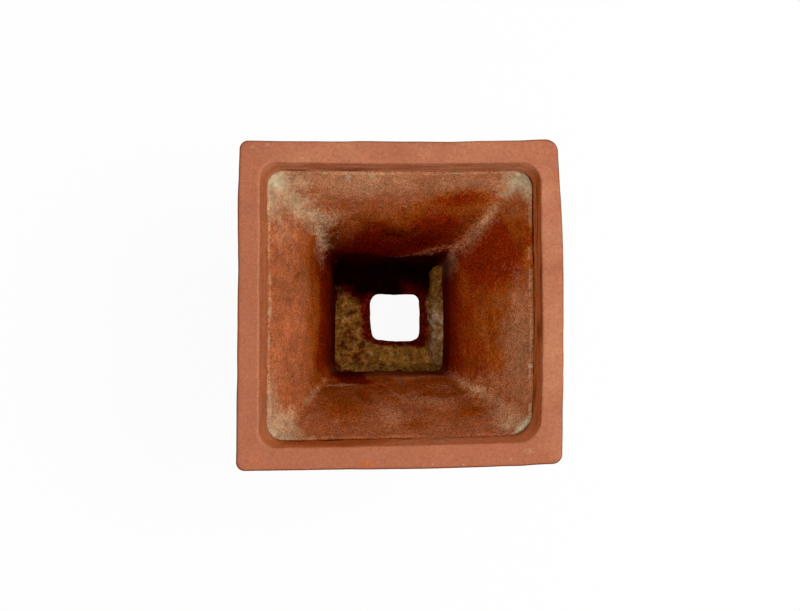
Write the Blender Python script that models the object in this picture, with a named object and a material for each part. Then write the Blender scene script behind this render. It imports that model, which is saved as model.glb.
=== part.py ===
"""Square unglazed clay bonsai pot with a flared mouth, slab-built from separate pieces of clay.

Metres, +Z up, +Y to the back. The origin is on the ground, under the middle of the drain hole.
Four bent wall slabs with mitred ends stand on a floor slab and carry a flat rim frame. Thin coils of
clay are pressed into the inner corners and along the floor, and four bracket feet lift the floor.
Neighbouring pieces are luted with slip, which takes up the small gap between them.
"""

import math

import bmesh
import bpy
from mathutils import Matrix

# Overall sizes
POT_WIDTH = 0.064
POT_HEIGHT = 0.066

# Layer of slip between two pieces of clay
SLIP_GAP = 0.0003

# Rim frame: a flat frame with a slanting inner lip
RIM_THICKNESS = 0.0042
RIM_TOP_WIDTH = 0.0042
RIM_OVERHANG = 0.0014
RIM_EDGE_RADIUS = 0.0007
RIM_CORNER_RADIUS = 0.0022
LIP_SLANT = 0.0015
LIP_OVERHANG = 0.0003
LIP_CORNER_RADIUS = 0.0036

# Walls: a nearly upright shaft that flares out above the waist
WAIST_HEIGHT = 0.0405
WAIST_WIDTH = 0.0272
FLOOR_WIDTH = 0.0266
SHAFT_WALL = 0.0048
BODY_CORNER_RADIUS = 0.0024
INNER_BLEND = 0.0030
OUTER_BLEND = 0.0100

# Coils pressed into the inner corners and along the floor
SEAM_COIL_MOUTH_LEG = 0.0042
SEAM_COIL_WAIST_LEG = 0.0026
SEAM_COIL_EDGE = 0.0005
FLOOR_COIL_RADIUS = 0.0028

# Floor slab and its drain hole
FLOOR_THICKNESS = 0.0050
DRAIN_WIDTH = 0.0122
DRAIN_CORNER_RADIUS = 0.0026
DRAIN_CHAMFER = 0.0015

# Bracket feet
FOOT_HEIGHT = 0.0052
FOOT_SETBACK = 0.0004
FOOT_ARM_TOP = 0.0110
FOOT_ARM_BOTTOM = 0.0072
FOOT_ARM_WIDTH = 0.0050

# How finely the round parts are divided
CORNER_STEPS = 6
EDGE_STEPS = 3
BLEND_STEPS = 10
COIL_STEPS = 5
FOOT_STEPS = 5

# Edges that turn by more than this are shaded sharp
SHARP_ANGLE = math.radians(35)

# Heights that agree to this many decimals are one height
HEIGHT_DECIMALS = 7

# Places that follow from the sizes
RIM_HALF = POT_WIDTH / 2
RIM_TOP_INNER_HALF = RIM_HALF - RIM_TOP_WIDTH
RIM_BOTTOM_INNER_HALF = RIM_TOP_INNER_HALF - LIP_SLANT
RIM_BOTTOM = POT_HEIGHT - RIM_THICKNESS
FLOOR_TOP = FOOT_HEIGHT + FLOOR_THICKNESS
WALL_TOP = RIM_BOTTOM - SLIP_GAP
WALL_BOTTOM = FLOOR_TOP + SLIP_GAP
MOUTH_HALF = RIM_BOTTOM_INNER_HALF + LIP_OVERHANG
MOUTH_OUTER_HALF = RIM_HALF - RIM_OVERHANG
BASE_HALF = FLOOR_WIDTH / 2 + SHAFT_WALL

# Corners of the pot, anticlockwise from the one at +X +Y, and sides from the one that faces -Y
CORNER_NAMES = ("back_right", "back_left", "front_left", "front_right")
SIDE_NAMES = ("front", "right", "back", "left")

# Colours are linear, from the photograph's rim, walls, crusted floor and paler corner streaks.
CLAYS = {
    "rim_clay": ((0.47, 0.17, 0.092), 0.82),
    "wall_clay": ((0.31, 0.088, 0.036), 0.78),
    "coil_clay": ((0.38, 0.17, 0.085), 0.84),
    "floor_clay": ((0.27, 0.14, 0.062), 0.90),
    "foot_clay": ((0.40, 0.14, 0.075), 0.82),
}


def clear_scene():
    """Removes every object that the scene starts with."""
    for obj in list(bpy.data.objects):
        bpy.data.objects.remove(obj, do_unlink=True)


def clay(name):
    """The named matte clay as a material."""
    colour, roughness = CLAYS[name]
    material = bpy.data.materials.new(name)
    material.use_nodes = True
    shader = material.node_tree.nodes["Principled BSDF"]
    shader.inputs["Base Color"].default_value = (*colour, 1.0)
    shader.inputs["Roughness"].default_value = roughness
    shader.inputs["Metallic"].default_value = 0.0
    return material


def place(obj, pot, root, material):
    """Puts a piece in the pot's collection, under its root, with its clay."""
    pot.objects.link(obj)
    obj.parent = root
    obj.data.materials.clear()
    obj.data.materials.append(material)
    return obj


def loft(name, outlines, closed_ring=False):
    """A solid through outlines of equal count. A closed ring joins the last to the first, without caps."""
    shape = bmesh.new()
    loops = [[shape.verts.new(point) for point in outline] for outline in outlines]
    pairs = list(zip(loops, loops[1:]))
    if closed_ring:
        pairs.append((loops[-1], loops[0]))
    else:
        shape.faces.new(loops[0])
        shape.faces.new(loops[-1])
    count = len(loops[0])
    for lower, upper in pairs:
        for i in range(count):
            j = (i + 1) % count
            shape.faces.new((lower[i], lower[j], upper[j], upper[i]))
    bmesh.ops.recalc_face_normals(shape, faces=shape.faces)
    mesh = bpy.data.meshes.new(name)
    shape.to_mesh(mesh)
    shape.free()
    mesh.shade_smooth()
    mesh.set_sharp_from_angle(angle=SHARP_ANGLE)
    return mesh


def arc(centre_x, centre_y, radius, start, end, steps):
    """Points on an arc, from one angle in degrees to another."""
    angles = [math.radians(start + (end - start) * i / steps) for i in range(steps + 1)]
    return [(centre_x + radius * math.cos(a), centre_y + radius * math.sin(a)) for a in angles]


def rounded_square(half, radius, height):
    """An outline with four round corners, anticlockwise, at one height."""
    inset = half - radius
    points = []
    for corner, (side_x, side_y) in enumerate(((1, 1), (-1, 1), (-1, -1), (1, -1))):
        start = 90 * corner
        points += arc(side_x * inset, side_y * inset, radius, start, start + 90, CORNER_STEPS)
    return [(x, y, height) for x, y in points]


def flared_half(height, low, waist, high, blend):
    """Half width at a height: straight up to the waist, straight out above it, and a parabola between."""
    start = WAIST_HEIGHT - blend
    end = WAIST_HEIGHT + blend

    def shaft(z):
        return low + (waist - low) * (z - WALL_BOTTOM) / (WAIST_HEIGHT - WALL_BOTTOM)

    def mouth(z):
        return waist + (high - waist) * (z - WAIST_HEIGHT) / (WALL_TOP - WAIST_HEIGHT)

    if height <= start:
        return shaft(height)
    if height >= end:
        return mouth(height)
    t = (height - start) / (end - start)
    return (1 - t) ** 2 * shaft(start) + 2 * t * (1 - t) * waist + t**2 * mouth(end)


def fitted_blend(blend):
    """A waist blend, limited by the wall above and below it."""
    return min(blend, WAIST_HEIGHT - WALL_BOTTOM, WALL_TOP - WAIST_HEIGHT)


def inner_half(height):
    """Half width of the space between the walls."""
    return flared_half(height, FLOOR_WIDTH / 2, WAIST_WIDTH / 2, MOUTH_HALF, fitted_blend(INNER_BLEND))


def outer_half(height):
    """Half width over the outside of the walls."""
    waist = WAIST_WIDTH / 2 + SHAFT_WALL
    return flared_half(height, BASE_HALF, waist, MOUTH_OUTER_HALF, fitted_blend(OUTER_BLEND))


def wall_heights():
    """Heights at which a wall's outline changes: its ends and steps through both waist blends."""
    heights = {WALL_BOTTOM, WALL_TOP}
    for blend in (fitted_blend(INNER_BLEND), fitted_blend(OUTER_BLEND)):
        for step in range(BLEND_STEPS + 1):
            heights.add(round(WAIST_HEIGHT + blend * (2 * step / BLEND_STEPS - 1), HEIGHT_DECIMALS))
    return sorted(h for h in heights if WALL_BOTTOM <= h <= WALL_TOP)


def wall_outline(height):
    """The front wall in plan: flat inside, half a round corner at each end outside, and mitred ends."""
    inner = inner_half(height)
    outer = outer_half(height)
    inset = outer - BODY_CORNER_RADIUS
    mitre = SLIP_GAP / math.sqrt(2)
    turn = 45 - math.degrees(math.asin(SLIP_GAP / (2 * BODY_CORNER_RADIUS)))
    half_steps = CORNER_STEPS // 2
    left = arc(-inset, -inset, BODY_CORNER_RADIUS, 270 - turn, 270, half_steps)
    right = arc(inset, -inset, BODY_CORNER_RADIUS, 270, 270 + turn, half_steps)
    inside = [(inner - mitre, -inner), (mitre - inner, -inner)]
    return [(x, y, height) for x, y in left + right + inside]


def add_walls(pot, root):
    """Four equal wall slabs, each turned to its own side."""
    mesh = loft("wall_slab", [wall_outline(height) for height in wall_heights()])
    material = clay("wall_clay")
    for index, side in enumerate(SIDE_NAMES):
        wall = place(bpy.data.objects.new(f"{side}_wall", mesh), pot, root, material)
        wall.rotation_euler.z = math.radians(90 * index)


def rim_section():
    """The rim's section as (half width, height, corner radius), once round from the outer bottom edge."""
    edge = RIM_EDGE_RADIUS
    outer_bottom = arc(RIM_HALF - edge, RIM_BOTTOM + edge, edge, -90, 0, EDGE_STEPS)
    outer_top = arc(RIM_HALF - edge, POT_HEIGHT - edge, edge, 0, 90, EDGE_STEPS)
    inner_top = arc(RIM_TOP_INNER_HALF + edge, POT_HEIGHT - edge, edge, 90, 180, EDGE_STEPS)
    outside = [(half, height, RIM_CORNER_RADIUS) for half, height in outer_bottom + outer_top]
    inside = [(half, height, LIP_CORNER_RADIUS) for half, height in inner_top]
    return outside + inside + [(RIM_BOTTOM_INNER_HALF, RIM_BOTTOM, LIP_CORNER_RADIUS)]


def add_rim(pot, root):
    """One flat frame that lies on the tops of the walls."""
    outlines = [rounded_square(half, radius, height) for half, height, radius in rim_section()]
    mesh = loft("rim_frame", outlines, closed_ring=True)
    place(bpy.data.objects.new("rim_frame", mesh), pot, root, clay("rim_clay"))


def add_floor(pot, root):
    """The square floor slab with its drain hole, chamfered at the top."""
    drain_half = DRAIN_WIDTH / 2
    wide_radius = DRAIN_CORNER_RADIUS + DRAIN_CHAMFER
    outlines = [
        rounded_square(BASE_HALF, BODY_CORNER_RADIUS, FOOT_HEIGHT),
        rounded_square(BASE_HALF, BODY_CORNER_RADIUS, FLOOR_TOP),
        rounded_square(drain_half + DRAIN_CHAMFER, wide_radius, FLOOR_TOP),
        rounded_square(drain_half, DRAIN_CORNER_RADIUS, FLOOR_TOP - DRAIN_CHAMFER),
        rounded_square(drain_half, DRAIN_CORNER_RADIUS, FOOT_HEIGHT),
    ]
    mesh = loft("floor_slab", outlines, closed_ring=True)
    place(bpy.data.objects.new("floor_slab", mesh), pot, root, clay("floor_clay"))


def coil_leg(height):
    """How far a seam coil reaches along each wall: even in the shaft, and wider towards the mouth."""
    climb = max(0.0, (height - WAIST_HEIGHT) / (WALL_TOP - WAIST_HEIGHT))
    return SEAM_COIL_WAIST_LEG + (SEAM_COIL_MOUTH_LEG - SEAM_COIL_WAIST_LEG) * climb


def seam_coil_outline(height):
    """A coil in plan at the +X +Y corner: square against the walls, hollowed by a thumb on its face."""
    wall = inner_half(height)
    leg = coil_leg(height)
    back = wall - SLIP_GAP
    end = wall - leg
    hollow = leg - SLIP_GAP - SEAM_COIL_EDGE
    face = arc(end, end, hollow, 90, 0, COIL_STEPS)
    return [(x, y, height) for x, y in [(back, back), (end, back), *face, (back, end)]]


def add_seam_coils(pot, root):
    """A coil up each inner corner, from the floor to the tops of the walls."""
    mesh = loft("seam_coil", [seam_coil_outline(height) for height in wall_heights()])
    material = clay("coil_clay")
    for index, corner in enumerate(CORNER_NAMES):
        coil = place(bpy.data.objects.new(f"seam_coil_{corner}", mesh), pot, root, material)
        coil.rotation_euler.z = math.radians(90 * index)


def floor_coil_curve():
    """A quarter-round outline, extruded to end clear of the seam coils and of the coils beside it."""
    end_room = max(coil_leg(WALL_BOTTOM), SLIP_GAP + FLOOR_COIL_RADIUS) + SLIP_GAP
    length = 2 * (inner_half(WALL_BOTTOM) - end_room)
    outline = [(0.0, 0.0)] + arc(0, 0, FLOOR_COIL_RADIUS, 0, 90, COIL_STEPS)
    curve = bpy.data.curves.new("floor_coil", "CURVE")
    curve.dimensions = "2D"
    curve.fill_mode = "BOTH"
    curve.extrude = length / 2
    spline = curve.splines.new("POLY")
    spline.points.add(len(outline) - 1)
    for point, (x, y) in zip(spline.points, outline):
        point.co = (x, y, 0.0, 1.0)
    spline.use_cyclic_u = True
    return curve


def add_floor_coils(pot, root):
    """A coil along the foot of each wall. The outline's X points into the pot and its Y points up."""
    material = clay("coil_clay")
    stand = Matrix(((0, 0, 1), (1, 0, 0), (0, 1, 0))).to_4x4()
    # A wall leans out above its lower edge, so a coil that clears the edge clears the wall.
    seat = Matrix.Translation((0, SLIP_GAP - inner_half(WALL_BOTTOM), FLOOR_TOP + SLIP_GAP))
    for index, side in enumerate(SIDE_NAMES):
        coil = place(bpy.data.objects.new(f"floor_coil_{side}", floor_coil_curve()), pot, root, material)
        turn = Matrix.Rotation(math.radians(90 * index), 4, "Z")
        coil.matrix_world = turn @ seat @ stand


def foot_outline(height):
    """A foot in plan at the +X +Y corner: two arms that a round cove cuts short towards the ground."""
    rise = height / (FOOT_HEIGHT - SLIP_GAP)
    arm = FOOT_ARM_BOTTOM + (FOOT_ARM_TOP - FOOT_ARM_BOTTOM) * (1 - math.sqrt(1 - rise**2))
    face = BASE_HALF - FOOT_SETBACK
    back = face - FOOT_ARM_WIDTH
    inset = face - BODY_CORNER_RADIUS
    corner = arc(inset, inset, BODY_CORNER_RADIUS, 0, 90, CORNER_STEPS)
    arms = [(face - arm, face), (face - arm, back), (back, back), (back, face - arm), (face, face - arm)]
    return [(x, y, height) for x, y in corner + arms]


def add_feet(pot, root):
    """Four bracket feet under the corners of the floor slab."""
    top = FOOT_HEIGHT - SLIP_GAP
    angles = [math.pi / 2 * i / FOOT_STEPS for i in range(FOOT_STEPS + 1)]
    heights = [top * math.sin(angle) for angle in angles]
    mesh = loft("bracket_foot", [foot_outline(height) for height in heights])
    material = clay("foot_clay")
    for index, corner in enumerate(CORNER_NAMES):
        foot = place(bpy.data.objects.new(f"foot_{corner}", mesh), pot, root, material)
        foot.rotation_euler.z = math.radians(90 * index)


def main():
    """Builds the pot from the ground up."""
    clear_scene()
    pot = bpy.data.collections.new("bonsai_pot")
    bpy.context.scene.collection.children.link(pot)
    root = bpy.data.objects.new("pot_root", None)
    pot.objects.link(root)
    add_feet(pot, root)
    add_floor(pot, root)
    add_walls(pot, root)
    add_floor_coils(pot, root)
    add_seam_coils(pot, root)
    add_rim(pot, root)


main()
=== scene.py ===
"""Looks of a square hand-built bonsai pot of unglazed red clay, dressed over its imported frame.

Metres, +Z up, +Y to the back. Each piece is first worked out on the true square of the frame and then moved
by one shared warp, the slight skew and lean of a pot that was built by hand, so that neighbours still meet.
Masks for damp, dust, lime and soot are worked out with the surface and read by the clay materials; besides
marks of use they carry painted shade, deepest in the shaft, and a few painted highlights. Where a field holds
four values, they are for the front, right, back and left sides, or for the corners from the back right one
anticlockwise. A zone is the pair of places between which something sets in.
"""

import logging
import math
from dataclasses import dataclass, replace
from enum import Enum, IntEnum
from itertools import product

import bpy
import numpy as np
from mathutils import Euler, Matrix, Vector


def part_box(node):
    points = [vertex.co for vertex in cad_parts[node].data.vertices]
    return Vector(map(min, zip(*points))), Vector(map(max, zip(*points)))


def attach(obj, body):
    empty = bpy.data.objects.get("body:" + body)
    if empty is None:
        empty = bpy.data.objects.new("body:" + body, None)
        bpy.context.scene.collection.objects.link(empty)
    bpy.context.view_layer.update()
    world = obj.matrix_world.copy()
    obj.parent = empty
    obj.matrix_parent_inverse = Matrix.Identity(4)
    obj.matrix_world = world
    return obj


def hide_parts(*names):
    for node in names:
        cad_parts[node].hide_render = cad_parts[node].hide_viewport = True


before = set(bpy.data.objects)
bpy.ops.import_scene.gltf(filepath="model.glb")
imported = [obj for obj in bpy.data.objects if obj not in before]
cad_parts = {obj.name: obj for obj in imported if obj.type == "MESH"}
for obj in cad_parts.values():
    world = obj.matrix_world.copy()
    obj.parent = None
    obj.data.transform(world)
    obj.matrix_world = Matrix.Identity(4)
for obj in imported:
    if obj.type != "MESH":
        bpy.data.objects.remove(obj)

MM = 0.001
BODY = "root"
BAKE_MAP = "OFBake"
SHARP_ANGLE = math.radians(48)
CORNER_BLEND = 4.0 * MM
TINY = 1e-6

# Sockets of a Mix node that mixes colours
MIX_SHARE, MIX_UNDER, MIX_OVER, MIX_RESULT = 0, 6, 7, 2
# The part of the flat map that a piece's sides take, and the strips for its two ends
MAP_SIDES = 0.94
MAP_STRIP = (0.95, 0.97)
MAP_STRIP_STEP = 0.025
# Turns, shift and factors of the hash that fills the noise lattice
LATTICE_TURNS = (1.3, 0.7, 2.1)
LATTICE_SHIFT = 17.0
HASH_AXES = np.array((73856093, 19349663, 83492791))
HASH_SEED = 1013
HASH_MIX = 1274126177
HASH_MASK = 0x7FFFFFFF
HASH_STEPS = 65536

LOG = logging.getLogger("bonsai_pot")

Masks = dict[str, np.ndarray]


class Side(Enum):
    """Sides of the pot, by the quarter turns that carry the front side onto each."""

    FRONT = 0
    RIGHT = 1
    BACK = 2
    LEFT = 3

    def neighbour(self, steps: int) -> "Side":
        """The side that many quarter turns further round."""
        return Side((self.value + steps) % len(Side))


class Corner(Enum):
    """Corners of the pot, by the quarter turns that carry the back right corner onto each."""

    BACK_RIGHT = 0
    BACK_LEFT = 1
    FRONT_LEFT = 2
    FRONT_RIGHT = 3

    def sides(self) -> tuple[Side, Side]:
        """The two sides that meet here: the one along the corner's own +X, then the one along its +Y."""
        return Side((self.value + 1) % len(Side)), Side((self.value + 2) % len(Side))


class Mark(Enum):
    """Marks that a surface carries as masks from 0 to 1: marks of use, with painted shade and painted
    highlights laid in with them.
    """

    DAMP = "damp"
    DUST = "dust"
    LIME = "lime"
    # Soot and painted shade: the dark shaft, the groove under the lip, the rim's outer edge and the back of
    # the floor
    SOOT = "soot"


class Seed(IntEnum):
    """Which random field each unevenness takes. Further layers and sides take the numbers after it."""

    WAVE_X = 3
    WAVE_Y = 4
    WAVE_Z = 5
    WALL_LUMPS = 21
    WALL_PIMPLES = 31
    STAIN_HEIGHTS = 41
    STAIN_EDGES = 43
    DUST_HAZE = 45
    DRAGGED_DAMP = 47
    OUTSIDE = 51
    SEAM_PRESS = 61
    RIM_X = 71
    RIM_Y = 73
    RIM_TOP = 75
    RIM_MARKS = 81
    LIP_STREAKS = 83
    GROOVE_LINE = 85
    CRUST = 91
    COIL_WALL_SHADE = 93
    HOLE_EDGE = 95
    FLOOR_MARKS = 97
    SOIL_SHADOW_EDGE = 99
    COIL_BEADS = 101
    COIL_GRAIN = 108
    FOOT_FACES = 121
    FOOT_MARKS = 131


def turned(points: np.ndarray, quarters: int) -> np.ndarray:
    """Points turned about +Z: each quarter turn takes (x, y) to (-y, x).

    Args:
        points: Array whose last axis is x, y, z.
        quarters: Whole quarter turns, anticlockwise from above.

    Returns:
        The turned points, in the same shape.
    """
    x, y, z = np.moveaxis(points, -1, 0)
    for _ in range(quarters % 4):
        x, y = -y, x
    return np.stack((x, y, z), axis=-1)


def placed(x: np.ndarray, y: np.ndarray | float, z: np.ndarray | float) -> np.ndarray:
    """Points from coordinates that are first spread to one shape."""
    return np.stack(np.broadcast_arrays(x, y, z), axis=-1)


def eased(low: float | np.ndarray, high: float, value: np.ndarray) -> np.ndarray:
    """Smooth step from 0 at low to 1 at high, 3t^2 - 2t^3 between them. Low may lie above high."""
    t = np.clip((value - low) / (high - low), 0.0, 1.0)
    return t * t * (3.0 - 2.0 * t)


def bell(distance: np.ndarray, width: float) -> np.ndarray:
    """A bell curve, exp(-(distance / width)^2)."""
    return np.exp(-np.square(distance / width))


def lattice_noise(points: np.ndarray, cell: float, seed: int) -> np.ndarray:
    """A smooth random field: hashed values at the points of a tilted cubic lattice, with a quintic blend.

    Args:
        points: Array whose last axis is x, y, z.
        cell: Spacing of the lattice in metres, about the size of one lump.
        seed: Picks one field.

    Returns:
        Values from -1 to 1, in the shape of points without its last axis.
    """
    tilt = np.array(Euler([turn * seed for turn in LATTICE_TURNS]).to_matrix())
    scaled = points @ tilt / cell + LATTICE_SHIFT * seed
    base = np.floor(scaled).astype(np.int64)
    part = scaled - base
    blend = part**3 * (part * (part * 6.0 - 15.0) + 10.0)
    total = np.zeros(points.shape[:-1])
    for corner in product((0, 1), repeat=3):
        key = (base + np.array(corner)) * HASH_AXES
        mixed = (key[..., 0] ^ key[..., 1] ^ key[..., 2]) + HASH_SEED * seed
        mixed = (mixed ^ (mixed >> 13)) * HASH_MIX & HASH_MASK
        value = (mixed ^ (mixed >> 16)) % HASH_STEPS / ((HASH_STEPS - 1) / 2) - 1.0
        weight = np.prod(np.where(np.array(corner) == 1, blend, 1.0 - blend), axis=-1)
        total += weight * value
    return total


def layered_noise(points: np.ndarray, cell: float, seed: int, layers: int = 3) -> np.ndarray:
    """Sum of lattice fields, each with half the cell and half the height of the one before."""
    return sum(lattice_noise(points, cell / 2**k, seed + k) / 2**k for k in range(layers))


def by_side(points: np.ndarray, values: tuple[float, ...]) -> np.ndarray:
    """Values of the front, right, back and left sides, blended over the corners.

    Args:
        points: Array whose last axis is x, y, z.
        values: One value a side.

    Returns:
        The value at each point, in the shape of points without its last axis.
    """
    x, y = points[..., 0], points[..., 1]
    ahead = eased(-CORNER_BLEND, CORNER_BLEND, np.abs(y) - np.abs(x))
    front, right, back, left = values
    return ahead * np.where(y < 0.0, front, back) + (1.0 - ahead) * np.where(x < 0.0, left, right)


def joined(first: Masks, second: Masks) -> Masks:
    """Masks of two neighbouring grids, set side by side as their points are."""
    return {m.value: np.concatenate((first[m.value], second[m.value]), axis=1) for m in Mark}


def line(start: tuple[float, float], end: tuple[float, float], count: int) -> np.ndarray:
    """Evenly spaced points from start up to, but without, end."""
    t = np.arange(count)[:, None] / count
    return np.array(start) * (1.0 - t) + np.array(end) * t


def arc(centre: tuple[float, float], radius: float, start: float, end: float, count: int) -> np.ndarray:
    """Points on an arc from one angle in degrees up to, but without, another."""
    turn = np.radians(start + (end - start) * np.arange(count) / count)
    return np.array(centre) + radius * np.stack((np.cos(turn), np.sin(turn)), axis=-1)


@dataclass(frozen=True)
class PotShape:
    """Nominal sizes of the pot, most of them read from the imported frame, and its wall profiles."""

    rim_half: float
    rim_top: float
    rim_bottom: float
    wall_top: float
    wall_bottom: float
    mouth_half: float
    mouth_outer_half: float
    shaft_half: float
    base_half: float
    floor_top: float
    floor_bottom: float
    coil_radius: float
    foot_top: float
    foot_face: float
    waist_height: float = 40.5 * MM
    waist_half: float = 13.5 * MM
    shaft_wall: float = 4.8 * MM
    body_radius: float = 2.4 * MM
    outer_blend: float = 10.0 * MM

    @classmethod
    def from_frame(cls) -> "PotShape":
        """Reads the sizes from the boxes of the frame's nodes.

        Returns:
            The sizes.
        """
        rim_low, rim_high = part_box("rim_frame")
        wall_low, wall_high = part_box("front_wall")
        floor_low, floor_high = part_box("floor_slab")
        coil_low, coil_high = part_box("floor_coil_right")
        seam_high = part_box("seam_coil_back_right")[1]
        foot_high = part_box("foot_back_right")[1]
        slip = rim_low.z - wall_high.z
        return cls(
            rim_half=rim_high.x,
            rim_top=rim_high.z,
            rim_bottom=rim_low.z,
            wall_top=wall_high.z,
            wall_bottom=wall_low.z,
            mouth_half=seam_high.x + slip,
            mouth_outer_half=-wall_low.y,
            shaft_half=coil_high.x + slip,
            base_half=floor_high.x,
            floor_top=floor_high.z,
            floor_bottom=floor_low.z,
            coil_radius=coil_high.x - coil_low.x,
            foot_top=foot_high.z,
            foot_face=foot_high.x,
        )

    def flared(self, z: np.ndarray, low: float, waist: float, high: float, blend: float) -> np.ndarray:
        """Half width: the larger of a shaft line and a mouth line, rounded where they cross.

        The rounding adds k h^2 / 4, where h falls from 1 at the waist to 0 at the blend's ends.

        Args:
            z: Heights.
            low: Half width at the foot of the wall.
            waist: Half width at the waist.
            high: Half width at the top of the wall.
            blend: Height above and below the waist that is rounded.

        Returns:
            Half widths at those heights.
        """
        shaft_slope = (waist - low) / (self.waist_height - self.wall_bottom)
        mouth_slope = (high - waist) / (self.wall_top - self.waist_height)
        rise = z - self.waist_height
        shaft = waist + shaft_slope * rise
        mouth = waist + mouth_slope * rise
        k = (mouth_slope - shaft_slope) * blend
        h = np.maximum(k - np.abs(shaft - mouth), 0.0) / k
        return np.maximum(shaft, mouth) + k * h * h / 4.0

    def outer(self, z: np.ndarray) -> np.ndarray:
        """Half width over the outside of the walls."""
        waist = self.waist_half + self.shaft_wall
        return self.flared(z, self.base_half, waist, self.mouth_outer_half, self.outer_blend)


@dataclass(frozen=True)
class HandWarp:
    """The skew and lean of the pot, as small moves of points that depend on where they are.

    Corner moves, bows and bumps shape the rim, and further corner moves the mouth inside it. A sideways drift
    leans the whole waist and shaft, outside as well as inside, and a slow wave goes over everything.
    """

    shape: PotShape
    corner_moves: tuple[tuple[float, float], ...] = (
        (-0.42 * MM, 0.95 * MM),
        (0.08 * MM, 0.02 * MM),
        (-0.07 * MM, -0.93 * MM),
        (0.13 * MM, 0.20 * MM),
    )
    mouth_moves: tuple[tuple[float, float], ...] = (
        (0.65 * MM, -0.57 * MM),
        (0.0, 0.0),
        (0.42 * MM, 0.20 * MM),
        (-0.45 * MM, 0.35 * MM),
    )
    mouth_zone: tuple[float, float] = (28.6 * MM, 31.0 * MM)
    edge_bows: tuple[float, ...] = (0.27 * MM, 0.62 * MM, -0.40 * MM, 0.0)
    rim_bumps: tuple[tuple[float, float, float], ...] = (
        (0.15, 0.30, 0.18 * MM),
        (0.38, 0.33, 0.42 * MM),
        (-0.30, 0.65, 0.25 * MM),
        (0.55, 0.25, 0.20 * MM),
    )
    mouth_start: float = 40.0 * MM
    drift_heights: tuple[float, ...] = (0.0, 10.2 * MM, 40.5 * MM, 56.0 * MM)
    drift_x: tuple[float, ...] = (-0.4 * MM, -0.7 * MM, -1.3 * MM, 0.0)
    drift_y: tuple[float, ...] = (0.0, -0.2 * MM, -1.1 * MM, 0.0)
    wave: float = 0.12 * MM
    wave_cell: float = 17.0 * MM

    def mouth_move(self, x: np.ndarray, y: np.ndarray) -> tuple[np.ndarray, np.ndarray]:
        """Corner moves blended bilinearly, the mouth's own added to the rim's, plus each side's bow and bump.

        Args:
            x: Places from left to right.
            y: Places from front to back.

        Returns:
            The moves along x and along y.
        """
        u = np.clip(x / self.shape.rim_half, -1.0, 1.0)
        v = np.clip(y / self.shape.rim_half, -1.0, 1.0)
        signs = ((1, 1), (-1, 1), (-1, -1), (1, -1))
        weights = [(1 + a * u) * (1 + b * v) / 4.0 for a, b in signs]
        within = 1.0 - eased(*self.mouth_zone, np.maximum(np.abs(x), np.abs(y)))
        moves = list(zip(weights, self.corner_moves, self.mouth_moves))
        move_x = sum(w * (rim[0] + within * mouth[0]) for w, rim, mouth in moves)
        move_y = sum(w * (rim[1] + within * mouth[1]) for w, rim, mouth in moves)
        sides = []
        for t, bow, (place, width, height) in zip((u, v, u, v), self.edge_bows, self.rim_bumps):
            bump = (1.0 - within) * height * bell(t - place, width)
            sides.append(bow * (1 - t * t) + bump)
        front, right, back, left = sides
        move_x = move_x + (right * (1 + u) - left * (1 - u)) / 2 * np.abs(u)
        move_y = move_y + (back * (1 + v) - front * (1 - v)) / 2 * np.abs(v)
        return move_x, move_y

    def drift(self, z: np.ndarray, amounts: tuple[float, ...]) -> np.ndarray:
        """Sideways move at heights, eased from each stated height to the next.

        Args:
            z: Heights.
            amounts: The move at each of the stated heights.

        Returns:
            The move at each height.
        """
        total = np.full(z.shape, amounts[0])
        steps = zip(self.drift_heights, self.drift_heights[1:], amounts, amounts[1:])
        for low, high, before, after in steps:
            total = total + (after - before) * eased(low, high, z)
        return total

    def moved(self, points: np.ndarray, lean: np.ndarray | float = 1.0) -> np.ndarray:
        """The points where the potter's hands left them.

        Args:
            points: Array whose last axis is x, y, z.
            lean: Share of the sideways drift that each point takes, 0 where a hole was cut true.

        Returns:
            The moved points, in the same shape.
        """
        x, y, z = np.moveaxis(points, -1, 0)
        share = eased(self.mouth_start, self.shape.rim_bottom, z)
        mouth_x, mouth_y = self.mouth_move(x, y)
        x = x + share * mouth_x + lean * self.drift(z, self.drift_x)
        y = y + share * mouth_y + lean * self.drift(z, self.drift_y)
        above_ground = eased(0.0, self.shape.floor_top, z)
        below_top = 1.0 - eased(self.shape.wall_top, self.shape.rim_top, z)
        x = x + self.wave * lattice_noise(points, self.wave_cell, Seed.WAVE_X)
        y = y + self.wave * lattice_noise(points, self.wave_cell, Seed.WAVE_Y)
        z = z + self.wave * lattice_noise(points, self.wave_cell, Seed.WAVE_Z) * above_ground * below_top
        return np.stack((x, y, z), axis=-1)


def add_node(
    tree: bpy.types.NodeTree,
    kind: str,
    settings: dict[str, object] | None = None,
    inputs: dict[str | int, object] | None = None,
) -> bpy.types.Node:
    """Adds one node with its settings and links.

    Args:
        tree: The node tree.
        kind: The node's type name.
        settings: Attributes of the node.
        inputs: Input sockets by name or number, each with a value or with the output socket to link.

    Returns:
        The new node.
    """
    node = tree.nodes.new(kind)
    for name, value in (settings or {}).items():
        setattr(node, name, value)
    for name, value in (inputs or {}).items():
        if isinstance(value, bpy.types.NodeSocket):
            tree.links.new(value, node.inputs[name])
        else:
            node.inputs[name].default_value = value
    return node


def linear(colour: str) -> tuple[float, float, float, float]:
    """An sRGB hex colour as linear RGBA, by the sRGB standard's own curve.

    Args:
        colour: Such as "#B4623C".

    Returns:
        Red, green, blue and an alpha of 1.
    """
    parts = [int(colour[i : i + 2], 16) / 255.0 for i in (1, 3, 5)]
    channels = [c / 12.92 if c <= 0.04045 else ((c + 0.055) / 1.055) ** 2.4 for c in parts]
    return (*channels, 1.0)


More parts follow.
